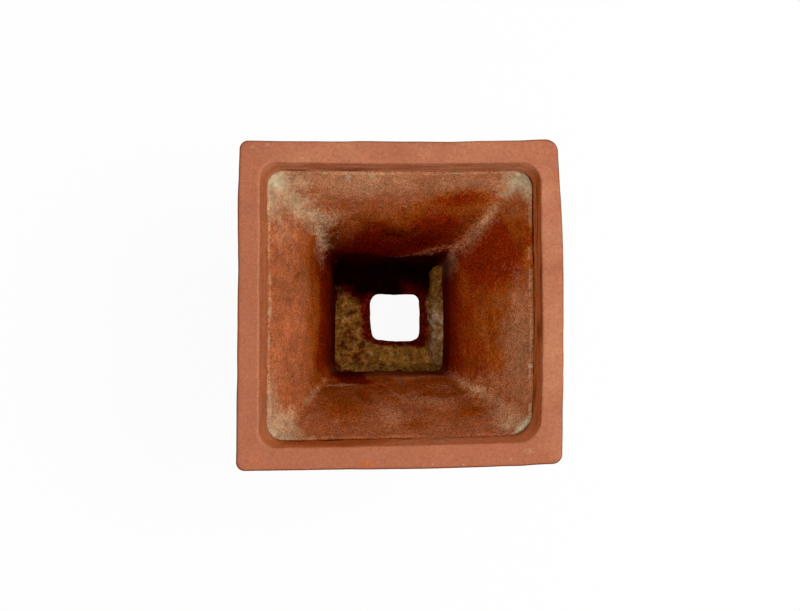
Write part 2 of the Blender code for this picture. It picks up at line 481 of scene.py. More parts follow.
@dataclass(frozen=True)
class FiredClay:
    """Unglazed fired clay: dry, dull and sandy, with marks of water, dust, lime and soil, and painted shade
    and painted highlights laid on through the same masks.

    The sand gives a fine salt-and-pepper grain, the firing gives soft blotches, and a dry surface scatters
    light with almost no gloss. Grain, specks, mottles and blotches are lumps of noise of rising size, and a
    depth is how far each lightens and darkens the clay.
    """

    name: str
    body: str
    moist: str
    damp: str
    dust: str
    lime: str
    # Near-black red of soot, which is also the colour of painted shade
    soot: str = "#3A0200"
    grain_size: float = 0.25 * MM
    grain_depth: float = 0.16
    pale_grain: float = 0.25
    marked_grain: float = 0.0
    speck_size: float = 0.75 * MM
    speck_depth: float = 0.0
    mottle_size: float = 2.6 * MM
    mottle_depth: float = 0.08
    blotch_size: float = 11.0 * MM
    blotch_depth: float = 0.10
    noise_roughness: float = 0.6
    noise_range: tuple[float, float] = (0.30, 0.70)
    blotch_range: tuple[float, float] = (0.32, 0.68)
    bare_range: tuple[float, float] = (0.2, 0.7)
    swing_down: float = 0.9
    swing_up: float = 1.1
    lime_calm: float = -0.9
    damp_lift: float = 0.5
    holds: tuple[tuple[Mark, str, float], ...] = (
        (Mark.DAMP, "mottle", 0.15),
        (Mark.DUST, "speck", 0.22),
        (Mark.LIME, "speck", 0.14),
        (Mark.SOOT, "mottle", 0.15),
    )
    grain_height: float = 0.035 * MM
    speck_relief: float = 0.8
    roughness: float = 0.86
    roughness_swing: float = 0.06
    gloss: float = 0.0
    ior: float = 1.48

    def noises(self) -> list[tuple[str, float, float, tuple[float, float]]]:
        """The noises behind the finish.

        Returns:
            Rows of a name, the size of a lump, the detail, and the range that is spread from 0 to 1.
        """
        return [
            ("grain", self.grain_size, 1.0, self.noise_range),
            ("speck", self.speck_size, 3.0, self.noise_range),
            ("mottle", self.mottle_size, 4.0, self.noise_range),
            ("blotch", self.blotch_size, 3.0, self.blotch_range),
        ]

    def sums(self) -> list[tuple[object, ...]]:
        """The sums behind the finish, in order.

        A mark's share is its mask eaten away where its noise is low: mask * (1 + hold) - (1 - noise) * hold.
        Sand shows through a stain where grain and specks are both high and there is no soot. Each noise
        swings the tone about 1, and the grain's swing grows on damp and sooty clay and shrinks under lime.

        Returns:
            Rows of a name, an operation, whether the result is clamped from 0 to 1, and the terms, which are
            numbers or names of noises, masks and earlier sums.
        """
        times, times_plus = "MULTIPLY", "MULTIPLY_ADD"
        rows: list[tuple[object, ...]] = []
        for mark, noise, hold in self.holds:
            edge = f"{mark.value}_edge"
            rows.append((edge, times_plus, False, noise, hold, -hold))
            rows.append((f"{mark.value}_share", times_plus, True, mark.value, 1.0 + hold, edge))
        bare_from, bare_to = self.bare_range
        bare_rise = 1.0 / (bare_to - bare_from)
        rows += [
            ("first_damp", times, True, "damp_share", 2.0),
            ("last_damp", times_plus, True, "damp_share", 2.0, -1.0),
            ("sand", times, True, "grain", "speck"),
            ("bare_sand", times_plus, True, "sand", bare_rise, -bare_from * bare_rise),
            ("clean", times_plus, True, "soot_share", -2.0, 1.0),
            ("stained", times, True, "damp_share", "clean"),
            ("bare_stain", times, True, "bare_sand", "stained"),
            ("rubbed", times, True, "bare_stain", self.pale_grain),
        ]
        span = self.swing_up + self.swing_down
        depths = {"speck": self.speck_depth, "mottle": self.mottle_depth, "blotch": self.blotch_depth}
        for noise, depth in depths.items():
            low = 1.0 - self.swing_down * depth
            rows.append((f"{noise}_swing", times_plus, False, noise, span * depth, low))
        grain_low = -self.swing_down * self.grain_depth
        rows += [
            ("grain_swing", times_plus, False, "grain", span * self.grain_depth, grain_low),
            ("damp_soot", times_plus, False, "damp_share", self.damp_lift, "soot_share"),
            ("marked", times_plus, False, "lime_share", self.lime_calm, "damp_soot"),
            ("lift", times_plus, False, "marked", self.marked_grain, 1.0),
            ("fine", times_plus, False, "grain_swing", "lift", "speck_swing"),
            ("broad", times, False, "blotch_swing", "mottle_swing"),
            ("tone", times, False, "broad", "fine"),
            ("height", times_plus, False, "speck", self.speck_relief, "grain"),
        ]
        smooth = self.roughness - self.roughness_swing
        rows.append(("dryness", times_plus, False, "mottle", 2.0 * self.roughness_swing, smooth))
        return rows

    def material(self) -> bpy.types.Material:
        """The finish as a node material: noises, masks and sums, then colours laid over one another.

        Returns:
            The new material.
        """
        made = bpy.data.materials.new(self.name)
        made.use_nodes = True
        tree = made.node_tree
        shader = tree.nodes["Principled BSDF"]
        place = add_node(tree, "ShaderNodeTexCoord").outputs["Object"]
        known: dict[str, bpy.types.NodeSocket] = {}
        for name, size, detail, (low, high) in self.noises():
            lumps = {"Vector": place, "Scale": 1.0 / size, "Detail": detail}
            lumps["Roughness"] = self.noise_roughness
            noise = add_node(tree, "ShaderNodeTexNoise", {"noise_dimensions": "3D"}, lumps).outputs["Fac"]
            spread = {"Value": noise, "From Min": low, "From Max": high}
            known[name] = add_node(tree, "ShaderNodeMapRange", {"clamp": True}, spread).outputs["Result"]
        for mark in Mark:
            mask = add_node(tree, "ShaderNodeAttribute", {"attribute_name": mark.value})
            known[mark.value] = mask.outputs["Fac"]
        for name, operation, clamped, *terms in self.sums():
            settings = {"operation": operation, "use_clamp": clamped}
            inputs = {number: known.get(term, term) for number, term in enumerate(terms)}
            known[name] = add_node(tree, "ShaderNodeMath", settings, inputs).outputs["Value"]

        colour = linear(self.body)
        # Coats in order; the soot coat also lays painted shade, and the dust coat some painted highlights
        coats = (
            (self.moist, "first_damp"),
            (self.damp, "last_damp"),
            (self.soot, "soot_share"),
            (self.body, "rubbed"),
            (self.dust, "dust_share"),
            (self.lime, "lime_share"),
        )
        for coat, share in coats:
            inputs = {MIX_SHARE: known[share], MIX_UNDER: colour, MIX_OVER: linear(coat)}
            colour = add_node(tree, "ShaderNodeMix", {"data_type": "RGBA"}, inputs).outputs[MIX_RESULT]
        toned = {0: colour, "Scale": known["tone"]}
        shaded = add_node(tree, "ShaderNodeVectorMath", {"operation": "SCALE"}, toned)
        relief = {"Strength": 1.0, "Distance": self.grain_height, "Height": known["height"]}
        bump = add_node(tree, "ShaderNodeBump", None, relief)
        tree.links.new(shaded.outputs["Vector"], shader.inputs["Base Color"])
        tree.links.new(known["dryness"], shader.inputs["Roughness"])
        tree.links.new(bump.outputs["Normal"], shader.inputs["Normal"])
        shader.inputs["IOR"].default_value = self.ior
        shader.inputs["Specular IOR Level"].default_value = self.gloss
        return made


# Smoothed and dusted by handling: pale brick red, with a dry bloom
RIM_FINISH = FiredClay(
    "rim_fired_clay",
    body="#B36B4E",
    moist="#B8653A",
    damp="#BC5E28",
    dust="#C4825F",
    lime="#D6AE92",
    grain_depth=0.12,
    speck_depth=0.08,
    mottle_depth=0.045,
    blotch_depth=0.05,
)
# Water-stained inside: orange where dry, deep red where damp and where painted shade deepens into the shaft,
# lime where water dried
WALL_FINISH = FiredClay(
    "wall_fired_clay",
    body="#B0633C",
    moist="#9F4C12",
    damp="#8B2803",
    dust="#C28E68",
    lime="#CDBC96",
    grain_depth=0.46,
    pale_grain=0.10,
    marked_grain=1.10,
    speck_depth=0.18,
    mottle_depth=0.24,
    blotch_depth=0.14,
)
# Pressed coils in the inner corners: the walls' own clay, smeared out over them
COIL_FINISH = replace(WALL_FINISH, name="coil_fired_clay")
# Crusted inside by hard water and soil: tan crust over dark clay, near black at the back where soil and
# painted shadow meet, and bare clay outside
FLOOR_FINISH = FiredClay(
    "crusted_fired_clay",
    body="#AC6440",
    moist="#88431F",
    damp="#560702",
    dust="#926226",
    lime="#CDAA90",
    soot="#120200",
    grain_depth=0.40,
    pale_grain=0.15,
    speck_depth=0.42,
    mottle_depth=0.34,
    blotch_depth=0.15,
)
# Bracket feet: the same clay, rubbed by the shelf
FOOT_FINISH = FiredClay(
    "foot_fired_clay",
    body="#A9613F",
    moist="#924F30",
    damp="#7A3A20",
    dust="#B98A6C",
    lime="#C9B08C",
    grain_depth=0.3,
)


@dataclass
class Surface:
    """A closed surface as a grid: stations along a path, and points round a closed section at each."""

    name: str
    grid: np.ndarray
    masks: Masks
    path_closed: bool

    def faces(self) -> tuple[np.ndarray, np.ndarray]:
        """Four-sided faces between neighbouring grid points, with a map of the grid laid flat.

        An open path is closed at both ends by strips that pair point k of the section with point m - 1 - k.

        Returns:
            Vertex numbers of the faces, and the place on the map of each face's corners.
        """
        stations, points = self.grid.shape[:2]
        spans = stations if self.path_closed else stations - 1
        i, j = (a.ravel() for a in np.meshgrid(np.arange(spans), np.arange(points), indexing="ij"))
        steps = ((0, 0), (1, 0), (1, 1), (0, 1))
        rows = np.stack([i + a for a, _ in steps], axis=-1)
        columns = np.stack([j + b for _, b in steps], axis=-1)
        quads = rows % stations * points + columns % points
        share = 1.0 if self.path_closed else MAP_SIDES
        places = np.stack((rows / spans, columns / points * share), axis=-1)
        if self.path_closed:
            return quads, places
        k = np.arange(points // 2 - 1)
        across = np.stack((k, k + 1, points - 2 - k, points - 1 - k), axis=-1)
        along = np.stack((k, k + 1, k + 1, k), axis=-1) / (points // 2)
        strip = np.broadcast_to(np.repeat(MAP_STRIP, 2), along.shape)
        first = np.stack((along, strip), axis=-1)
        last = first + np.array((0.0, MAP_STRIP_STEP))
        end = across[:, ::-1] + (stations - 1) * points
        return np.concatenate((quads, across, end)), np.concatenate((places, first, last[:, ::-1]))

    def mesh(self) -> bpy.types.Mesh:
        """The surface as a smooth mesh with its faces outwards, its masks and its map.

        Returns:
            The new mesh.
        """
        vertices = self.grid.reshape(-1, 3)
        quads, places = self.faces()
        a, b, c, d = (vertices[quads[:, n]] for n in range(4))
        volume = np.sum(a * np.cross(b, c)) + np.sum(a * np.cross(c, d))
        if volume < 0.0:
            quads, places = quads[:, ::-1], places[:, ::-1]
        mesh = bpy.data.meshes.new(self.name)
        mesh.vertices.add(len(vertices))
        mesh.vertices.foreach_set("co", vertices.astype(np.float32).ravel())
        mesh.loops.add(quads.size)
        mesh.loops.foreach_set("vertex_index", quads.astype(np.int32).ravel())
        mesh.polygons.add(len(quads))
        mesh.polygons.foreach_set("loop_start", np.arange(0, quads.size, 4, dtype=np.int32))
        mesh.update(calc_edges=True)
        layer = mesh.uv_layers.new(name=BAKE_MAP)
        layer.uv.foreach_set("vector", places.astype(np.float32).ravel())
        for mark in Mark:
            values = np.clip(self.masks[mark.value], 0.0, 1.0)
            attribute = mesh.attributes.new(mark.value, "FLOAT", "POINT")
            attribute.data.foreach_set("value", values.astype(np.float32).ravel())
        mesh.shade_smooth()
        mesh.set_sharp_from_angle(angle=SHARP_ANGLE)
        return mesh

    def piece(self, material: bpy.types.Material, slot: str) -> bpy.types.Object:
        """The surface as a piece that stands for the frame's node of the same name.

        Args:
            material: Its clay.
            slot: Not used.

        Returns:
            The new object.
        """
        mesh = self.mesh()
        mesh.materials.append(material)
        made = bpy.data.objects.new(f"{self.name}_clay", mesh)
        bpy.context.scene.collection.objects.link(made)
        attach(made, BODY)
        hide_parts(self.name)
        LOG.info("%s: %d faces of %s", made.name, len(mesh.polygons), material.name)
        return made


@dataclass(frozen=True)
class Stain:
    """One mark placed in plan, whether of use, painted shade or painted highlight: an ellipse in millimetres
    with a soft or a crisp edge.
    """

    mark: Mark
    place: tuple[float, float]
    reach: tuple[float, float]
    turn: float = 0.0
    strength: float = 1.0
    crisp: float = 1.0
    raggedness: float = 0.60

    def share(self, points: np.ndarray, ragged: np.ndarray) -> np.ndarray:
        """How much of the mark is at points: strength * exp(-q^crisp), where q is 1 on the ellipse.

        Args:
            points: Array whose last axis is x, y, z.
            ragged: Noise from -1 to 1 that draws the edge in and out.

        Returns:
            Shares in the shape of points without its last axis.
        """
        dx = points[..., 0] / MM - self.place[0]
        dy = points[..., 1] / MM - self.place[1]
        cosine, sine = math.cos(math.radians(self.turn)), math.sin(math.radians(self.turn))
        along = (dx * cosine + dy * sine) / self.reach[0]
        aside = (dy * cosine - dx * sine) / self.reach[1]
        q = (along**2 + aside**2) * (1.0 + self.raggedness * ragged)
        return self.strength * np.exp(-(np.maximum(q, 0.0) ** self.crisp))

    def laid_on(self, mask: np.ndarray, points: np.ndarray, ragged: np.ndarray) -> np.ndarray:
        """A mask with the mark laid on it, or wiped out of it where the strength is below 0."""
        share = self.share(points, ragged)
        return mask * (1.0 + share) if self.strength < 0.0 else np.maximum(mask, share)


# Lime left where water stood in the mouth's corners, with a few flecks along the top edge
LIME_POOLS = (
    Stain(Mark.LIME, (-25.2, 25.0), (2.8, 2.6), 0, 0.94),
    Stain(Mark.LIME, (-25.6, 21.6), (2.2, 5.0), 0, 0.52),
    Stain(Mark.LIME, (-21.4, 25.4), (4.2, 1.8), 0, 0.34),
    Stain(Mark.LIME, (-21.0, 21.0), (5.0, 2.6), -45, 0.54),
    Stain(Mark.LIME, (-17.6, 19.8), (3.8, 1.5), -18, 0.50),
    Stain(Mark.LIME, (-15.8, 17.4), (3.2, 1.3), -58, 0.38),
    Stain(Mark.LIME, (24.4, 25.0), (3.4, 2.0), -18, 0.80),
    Stain(Mark.LIME, (25.8, 23.0), (0.9, 2.6), 0, 0.66),
    Stain(Mark.LIME, (23.6, 24.0), (1.9, 0.45), 42, 0.74),
    Stain(Mark.LIME, (25.4, -24.5), (3.5, 1.1), 47, 0.72, 1.1),
    Stain(Mark.LIME, (22.6, -24.4), (3.0, 1.6), 20, 0.22),
    Stain(Mark.LIME, (-26.0, -25.8), (3.0, 2.6), 0, 0.62),
    Stain(Mark.LIME, (-26.2, -19.5), (1.6, 5.0), 0, 0.34),
    Stain(Mark.LIME, (-26.2, -26.4), (6.6, 6.8), 0, 0.42, 2.2),
    Stain(Mark.LIME, (-10.5, 26.1), (0.50, 0.16), 35, 0.80),
    Stain(Mark.LIME, (-5.4, 26.3), (0.34, 0.15), 10, 0.80),
    Stain(Mark.LIME, (-26.2, -1.3), (0.25, 1.60), 0, 0.35),
    Stain(Mark.LIME, (26.2, -12.9), (0.28, 0.32), 0, 0.70),
)
# Dust and dried slip, with a little lime: streaks down the corners, bands under the rim, a haze at the right,
# and a pale line on the back waist edge that is partly a painted highlight
DUST_MARKS = (
    Stain(Mark.DUST, (1.0, 17.2), (12.0, 3.0), 0, -1.0),
    Stain(Mark.DUST, (-13.6, 19.6), (5.2, 1.6), 2, 0.34),
    Stain(Mark.DUST, (-15.6, 15.4), (1.6, 4.2), 0, 0.36),
    Stain(Mark.DUST, (-23.2, 15.5), (3.0, 5.5), 0, 0.30),
    Stain(Mark.DUST, (-8.0, 17.0), (3.5, 1.0), 0, 0.07),
    Stain(Mark.DUST, (-8.0, 25.2), (18.0, 3.0), 0, 0.66),
    Stain(Mark.DUST, (12.0, 25.0), (13.0, 2.2), 0, 0.52),
    Stain(Mark.DUST, (20.6, 24.4), (4.4, 2.0), 0, 0.58),
    Stain(Mark.DUST, (18.4, 17.6), (5.6, 2.0), 54, 0.50),
    Stain(Mark.DUST, (23.2, 11.8), (5.0, 8.6), 0, -1.0, 1.4),
    Stain(Mark.DUST, (14.2, 22.2), (6.5, 1.9), 4, -0.90),
    Stain(Mark.DUST, (19.2, 19.2), (3.4, 1.2), 55, 0.70),
    Stain(Mark.DUST, (23.2, 22.8), (2.6, 1.9), 40, 0.34),
    Stain(Mark.DUST, (13.9, 12.2), (1.1, 3.2), 0, 0.46),
    # Pale line along the back waist edge: dust, lime and a painted highlight
    Stain(Mark.DUST, (9.5, 14.5), (5.5, 0.9), 8, 0.14, 1.2),
    Stain(Mark.LIME, (9.5, 14.5), (5.5, 0.8), 8, 0.08, 1.2),
    Stain(Mark.LIME, (4.0, 14.0), (8.0, 0.22), 4, 0.09),
    Stain(Mark.DUST, (24.4, -10.0), (3.0, 12.5), 0, 0.50),
    Stain(Mark.DUST, (21.0, -17.0), (4.4, 6.0), 0, 0.34),
    Stain(Mark.DUST, (24.6, 1.0), (2.4, 3.6), 0, 0.34),
    Stain(Mark.DUST, (18.4, -17.8), (7.0, 1.35), -43, 0.56),
    Stain(Mark.LIME, (17.8, -17.2), (6.0, 1.0), -43, 0.12),
    Stain(Mark.DUST, (22.4, -22.8), (4.0, 3.0), 0, 0.66),
    Stain(Mark.DUST, (-18.0, -18.5), (4.6, 0.75), 46, 0.48),
    Stain(Mark.DUST, (-11.0, -15.6), (4.6, 0.42), 3, 0.44),
    Stain(Mark.DUST, (-1.5, -22.6), (3.2, 2.4), 20, 0.30),
    Stain(Mark.DUST, (7.0, -19.4), (6.0, 1.8), -10, 0.30),
    Stain(Mark.DUST, (9.5, -16.0), (4.0, 0.9), -8, 0.18),
)
# Damp clay, painted shade on the back waist with a painted highlight wiped along its edge, and a painted
# shadow of a notch in the front one
DAMP_MARKS = (
    Stain(Mark.DAMP, (9.5, 18.8), (10.5, 3.0), 0, 1.0),
    Stain(Mark.DAMP, (-12.0, 17.6), (5.0, 3.0), 0, -0.45),
    Stain(Mark.DAMP, (12.6, 22.4), (7.0, 1.9), 4, 0.95),
    Stain(Mark.SOOT, (15.8, 22.2), (3.4, 1.2), 8, 0.26),
    Stain(Mark.DAMP, (20.0, 10.8), (6.4, 9.0), 0, 1.15, 1.6),
    Stain(Mark.SOOT, (17.4, 8.8), (2.6, 6.2), 0, 0.30),
    Stain(Mark.DAMP, (-11.0, -20.6), (5.5, 3.6), 0, 0.58),
    Stain(Mark.DAMP, (3.5, -24.0), (3.6, 1.1), 4, 0.45),
    Stain(Mark.DAMP, (15.5, -21.6), (4.6, 1.8), 14, 0.62),
    Stain(Mark.DAMP, (-6.5, -18.4), (2.2, 3.0), 20, 0.66),
    # Painted shade on the back waist
    Stain(Mark.SOOT, (1.0, 16.9), (10.5, 2.2), 0, 0.86),
    # Painted highlight: painted shade and damp wiped back along the back waist edge
    Stain(Mark.SOOT, (8.5, 14.5), (6.5, 0.6), 7, -0.30, 1.4),
    Stain(Mark.DAMP, (8.5, 14.5), (6.5, 0.5), 7, -0.30, 1.4),
    # Painted shadow of a notch at the front waist, on damp and soot
    Stain(Mark.DAMP, (-8.4, -13.9), (5.6, 1.8), -14, 1.2, 3.0),
    Stain(Mark.SOOT, (-8.4, -13.9), (5.6, 1.8), -14, 0.66, 3.0),
)
INNER_STAINS = LIME_POOLS + DUST_MARKS + DAMP_MARKS
# Small marks on the rim: a chip, pale flecks, a rub, a damp lip at the front left and a dark line at the back
RIM_STAINS = (
    Stain(Mark.DAMP, (-6.6, -31.0), (0.85, 0.45), 10, 1.2, 1.4),
    Stain(Mark.DUST, (-6.5, -31.0), (0.60, 0.35), 10, 0.50, 1.4),
    Stain(Mark.LIME, (-19.7, 28.8), (0.35, 0.18), 20, 0.60),
    Stain(Mark.LIME, (-19.0, 29.0), (0.22, 0.16), 0, 0.50),
    Stain(Mark.LIME, (-26.4, 31.2), (0.30, 0.20), 30, 0.50),
    Stain(Mark.LIME, (-29.2, 30.6), (0.25, 0.25), 0, 0.40),
    Stain(Mark.SOOT, (32.0, 18.4), (0.50, 0.90), 0, 0.50),
    Stain(Mark.LIME, (25.5, -29.4), (1.10, 0.40), -18, 0.26),
    Stain(Mark.LIME, (21.8, -30.7), (0.22, 0.28), 0, 0.50),
    Stain(Mark.LIME, (12.3, -31.4), (0.24, 0.20), 0, 0.60),
    Stain(Mark.LIME, (6.4, -31.2), (0.34, 0.18), 10, 0.40),
    Stain(Mark.DUST, (-12.5, -27.0), (12.5, 0.85), 0, -0.95, 3.0),
    Stain(Mark.DAMP, (-12.5, -27.0), (12.5, 0.74), 0, 1.1, 3.0),
    Stain(Mark.SOOT, (-12.5, -26.95), (12.5, 0.74), 0, 0.36, 3.0),
    Stain(Mark.SOOT, (-15.5, 27.0), (10.0, 0.40), 0, 0.48, 2.0),
)


@dataclass(frozen=True)
class Inside:
    """The inner skin of the pot: half widths of its four sides, hand marks, marks of use and painted shade.
    """

    shape: PotShape
    top_halves: tuple[float, ...] = (26.3 * MM, 26.3 * MM, 26.65 * MM, 26.4 * MM)
    blends: tuple[float, ...] = (2.4 * MM, 5.0 * MM, 2.5 * MM, 8.0 * MM)
    lump: float = 0.28 * MM
    lump_cell: float = 9.0 * MM
    pimple: float = 0.035 * MM
    pimple_cell: float = 1.3 * MM
    ledge: float = 1.1 * MM
    ledge_middle: float = 2.0 * MM
    ledge_reach: tuple[float, float] = (8.5 * MM, 3.0 * MM)
    ledge_zone: tuple[float, float] = (9.0 * MM, 12.0 * MM)
    stations: tuple[float, ...] = (0.10, 0.48, 0.84, 0.99, 1.04, 1.20, 1.70)
    # Damp by side and depth: water stains, with painted shade that deepens past the waist into the shaft
    side_damp_and_shade: tuple[tuple[float, ...], ...] = (
        (0.02, 0.24, 0.48, 0.56, 0.30, 0.20, 0.35),
        (0.20, 0.54, 0.76, 1.00, 1.10, 1.10, 1.10),
        (0.05, 0.26, 1.00, 1.20, 1.20, 1.20, 1.20),
        (0.00, 0.10, 0.58, 1.00, 1.00, 1.00, 1.00),
    )
    # Soot by side and depth: painted shade, darkest deep in the shaft and on the back waist, with some soot
    side_soot_and_shade: tuple[tuple[float, ...], ...] = (
        (0.32, 0.38, 0.53, 0.34, 0.08, 0.00, 0.10),
        (0.03, 0.12, 0.20, 0.26, 0.26, 0.28, 0.36),
        (0.00, 0.31, 0.85, 0.92, 1.00, 1.00, 1.00),
        (0.00, 0.00, 0.22, 0.46, 0.54, 0.64, 0.78),
    )
    side_blend: float = 2.0 * MM
    uneven_cell: float = 6.0 * MM
    ragged_cell: float = 2.4 * MM
    drag_cell: float = 1.2 * MM
    drag_stretch: tuple[float, float, float] = (0.25, 1.0, 1.0)
    damp_wander: float = 0.12
    damp_ragged: float = 0.10
    damp_drag: float = 0.14
    soot_wander: float = 0.05
    side_haze: tuple[float, ...] = (0.14, 0.12, 0.22, 0.08)
    haze_cell: float = 3.2 * MM
    haze_break: tuple[float, float] = (-0.3, 1.0)
    haze_end: tuple[float, float] = (0.35, 0.85)
    edge_line: tuple[float, ...] = (0.0, 0.42, 0.36, 0.38)
    edge_place: float = 0.25 * MM
    edge_reach: float = 0.28 * MM
    edge_lime: float = 0.3

    def half(self, side: Side, z: np.ndarray) -> np.ndarray:
        """Half width from the middle to one side's inner face.

        Args:
            side: Which side.
            z: Heights.

        Returns:
            Half widths at those heights.
        """
        shape = self.shape
        top, blend = self.top_halves[side.value], self.blends[side.value]
        return shape.flared(z, shape.shaft_half, shape.waist_half, top, blend)

    def lumps(self, points: np.ndarray) -> np.ndarray:
        """Uneven thickness left by thumbs and a rough paddle.

        A ledge of clay was pushed inwards at the back waist: a bell along it and a bell up and down.

        Args:
            points: Array whose last axis is x, y, z.

        Returns:
            Metres outwards, in the shape of points without its last axis.
        """
        x, y, z = np.moveaxis(points, -1, 0)
        broad = self.lump * layered_noise(points, self.lump_cell, Seed.WALL_LUMPS, 2)
        fine = self.pimple * layered_noise(points, self.pimple_cell, Seed.WALL_PIMPLES, 2)
        along = bell(x - self.ledge_middle, self.ledge_reach[0])
        upward = bell(z - self.shape.waist_height, self.ledge_reach[1])
        ledge = self.ledge * along * upward * eased(*self.ledge_zone, y)
        return broad + fine - ledge

    def masks(self, points: np.ndarray) -> Masks:
        """Marks of use at nominal points of the inner skin.

        Each side has its own shares of damp and of soot at stations from the mouth, 0, past the waist, 1,
        into the shaft; both carry painted shade that deepens into the shaft and on the back waist. A haze of
        dust mottles the funnel and a fine pale line follows the top edge. The placed stains, some of them
        painted shade or painted highlights, are laid over these.

        Args:
            points: Array whose last axis is x, y, z.

        Returns:
            The masks, in the shape of points without its last axis.
        """
        shape = self.shape
        z = points[..., 2]
        depth = shape.wall_top - z
        sink = depth / (shape.wall_top - shape.waist_height)
        uneven = layered_noise(points, self.uneven_cell, Seed.STAIN_HEIGHTS)
        ragged = layered_noise(points, self.ragged_cell, Seed.STAIN_EDGES, 4)
        mottle = eased(*self.haze_break, layered_noise(points, self.haze_cell, Seed.DUST_HAZE, 4))
        layers = np.zeros((len(Mark), *z.shape))
        near = np.zeros(z.shape)
        for side in Side:
            n = side.value
            local = turned(points, -n)
            drawn_out = local * np.array(self.drag_stretch)
            drag = layered_noise(drawn_out, self.drag_cell, Seed.DRAGGED_DAMP + n, 3)
            weight = bell(-local[..., 1] - self.half(side, z), self.side_blend) + TINY
            # Damp and soot here are stains with painted shade that deepens down the shaft
            damp = np.interp(sink + self.damp_wander * uneven, self.stations, self.side_damp_and_shade[n])
            damp = damp + self.damp_ragged * ragged + self.damp_drag * drag
            soot = np.interp(sink + self.soot_wander * uneven, self.stations, self.side_soot_and_shade[n])
            haze = self.side_haze[n] * mottle * (1.0 - eased(*self.haze_end, sink))
            pale = self.edge_line[n] * bell(depth - self.edge_place, self.edge_reach) * (1.0 + ragged)
            layers += weight * np.stack((damp, np.maximum(haze, pale), self.edge_lime * pale, soot))
            near += weight
        masks = {mark.value: layer / near for mark, layer in zip(Mark, layers)}
        for stain in INNER_STAINS:
            masks[stain.mark.value] = stain.laid_on(masks[stain.mark.value], points, ragged)
        return masks


@dataclass(frozen=True)
class Outside:
    """The outer skin of walls and slab: bare clay, damper towards the feet, with dust and patches of lime."""

    shape: PotShape
    blotch_cell: float = 8.0 * MM
    damp: float = 0.26
    foot_damp: float = 0.22
    foot_damp_top: float = 30.0 * MM
    damp_swing: float = 0.15
    dust: float = 0.28
    dust_swing: float = 0.25
    lime: float = 0.34
    lime_height: float = 12.0 * MM
    lime_wander: float = 4.0 * MM
    lime_reach: float = 4.5 * MM
    lime_break: tuple[float, float] = (-0.6, 0.8)

    def blotches(self, points: np.ndarray) -> np.ndarray:
        """Broad unevenness of the outer skin, about 0."""
        return layered_noise(points, self.blotch_cell, Seed.OUTSIDE, 4)

    def lime_bloom(self, points: np.ndarray) -> np.ndarray:
        """Lime that dried a little above the feet: a bell in height, moved and broken by the blotches.

        Args:
            points: Array whose last axis is x, y, z.

        Returns:
            Shares of lime in the shape of points without its last axis.
        """
        uneven = self.blotches(points)
        band = bell(points[..., 2] - self.lime_height - self.lime_wander * uneven, self.lime_reach)
        return self.lime * band * eased(*self.lime_break, uneven)

    def masks(self, points: np.ndarray) -> Masks:
        """Marks of use at nominal points of the walls' outer faces.

        Args:
            points: Array whose last axis is x, y, z.

        Returns:
            The masks, in the shape of points without its last axis.
        """
        z = points[..., 2]
        uneven = self.blotches(points)
        low = 1.0 - eased(self.shape.wall_bottom, self.foot_damp_top, z)
        return {
            Mark.DAMP.value: self.damp + self.foot_damp * low + self.damp_swing * uneven,
            Mark.DUST.value: self.dust + self.dust_swing * uneven,
            Mark.LIME.value: self.lime_bloom(points),
            Mark.SOOT.value: np.zeros(z.shape),
        }


@dataclass(frozen=True)
class Walls:
    """Four bent wall slabs with mitred ends, smooth outside and worked by thumb inside."""

    inside: Inside
    warp: HandWarp
    columns: int = 170
    rows: int = 185
    crowding: float = 0.25
    edge_radius: float = 0.40 * MM
    edge_rows: int = 10

    def heights(self) -> np.ndarray:
        """Even rows up the wall, then closer ones round its top edge.

        Returns:
            Heights from the floor to the top of the wall.
        """
        shape = self.inside.shape
        body = np.linspace(shape.floor_top, shape.wall_top - self.edge_radius, self.rows, endpoint=False)
        turn = np.linspace(0.0, math.pi / 2, self.edge_rows)
        return np.concatenate((body, shape.wall_top - self.edge_radius * (1.0 - np.sin(turn))))

    def surface(self, side: Side) -> Surface:
        """One wall: across it from mitre to mitre, and round its section up the inside and down the outside.

        Inside, a point is at across = u between the neighbours' inner faces and out = this side's half width.
        Outside, across runs to the middle of each rounded corner, where out falls along a circle.

        Args:
            side: Which wall.

        Returns:
            The wall as a closed surface.
        """
        inside, shape = self.inside, self.inside.shape
        z = self.heights()
        u = np.linspace(-1.0, 1.0, self.columns)
        u = ((1.0 - self.crowding) * u + self.crowding * np.sin(u * math.pi / 2))[:, None]
        out = inside.half(side, z)
        low = inside.half(side.neighbour(-1), z)
        high = inside.half(side.neighbour(1), z)
        across = np.where(u < 0.0, u * low, u * high)
        drop = np.maximum(z - (shape.wall_top - self.edge_radius), 0.0)
        lip = self.edge_radius - np.sqrt(np.maximum(self.edge_radius**2 - drop**2, 0.0))
        inner = turned(placed(across, -out, z), side.value)
        bulge = inside.lumps(inner) + lip
        shift = turned(np.array((0.0, -1.0, 0.0)), side.value)
        masks = inside.masks(inner)
        inner = inner + bulge[..., None] * shift

        half = shape.outer(z)
        inset = half - shape.body_radius
        reach = inset + shape.body_radius / math.sqrt(2.0)
        over = np.maximum(np.abs(u * reach) - inset, 0.0)
        rounded = inset + np.sqrt(shape.body_radius**2 - over**2)
        outer = turned(placed(u * reach, -rounded, z), side.value)[:, ::-1]
        grid = self.warp.moved(np.concatenate((inner, outer), axis=1))
        both = joined(masks, Outside(shape).masks(outer))
        return Surface(f"{side.name.lower()}_wall", grid, both, False)

    def build(self) -> None:
        """Makes and dresses the four walls."""
        material = WALL_FINISH.material()
        for side in Side:
            self.surface(side).piece(material, "wall_clay")


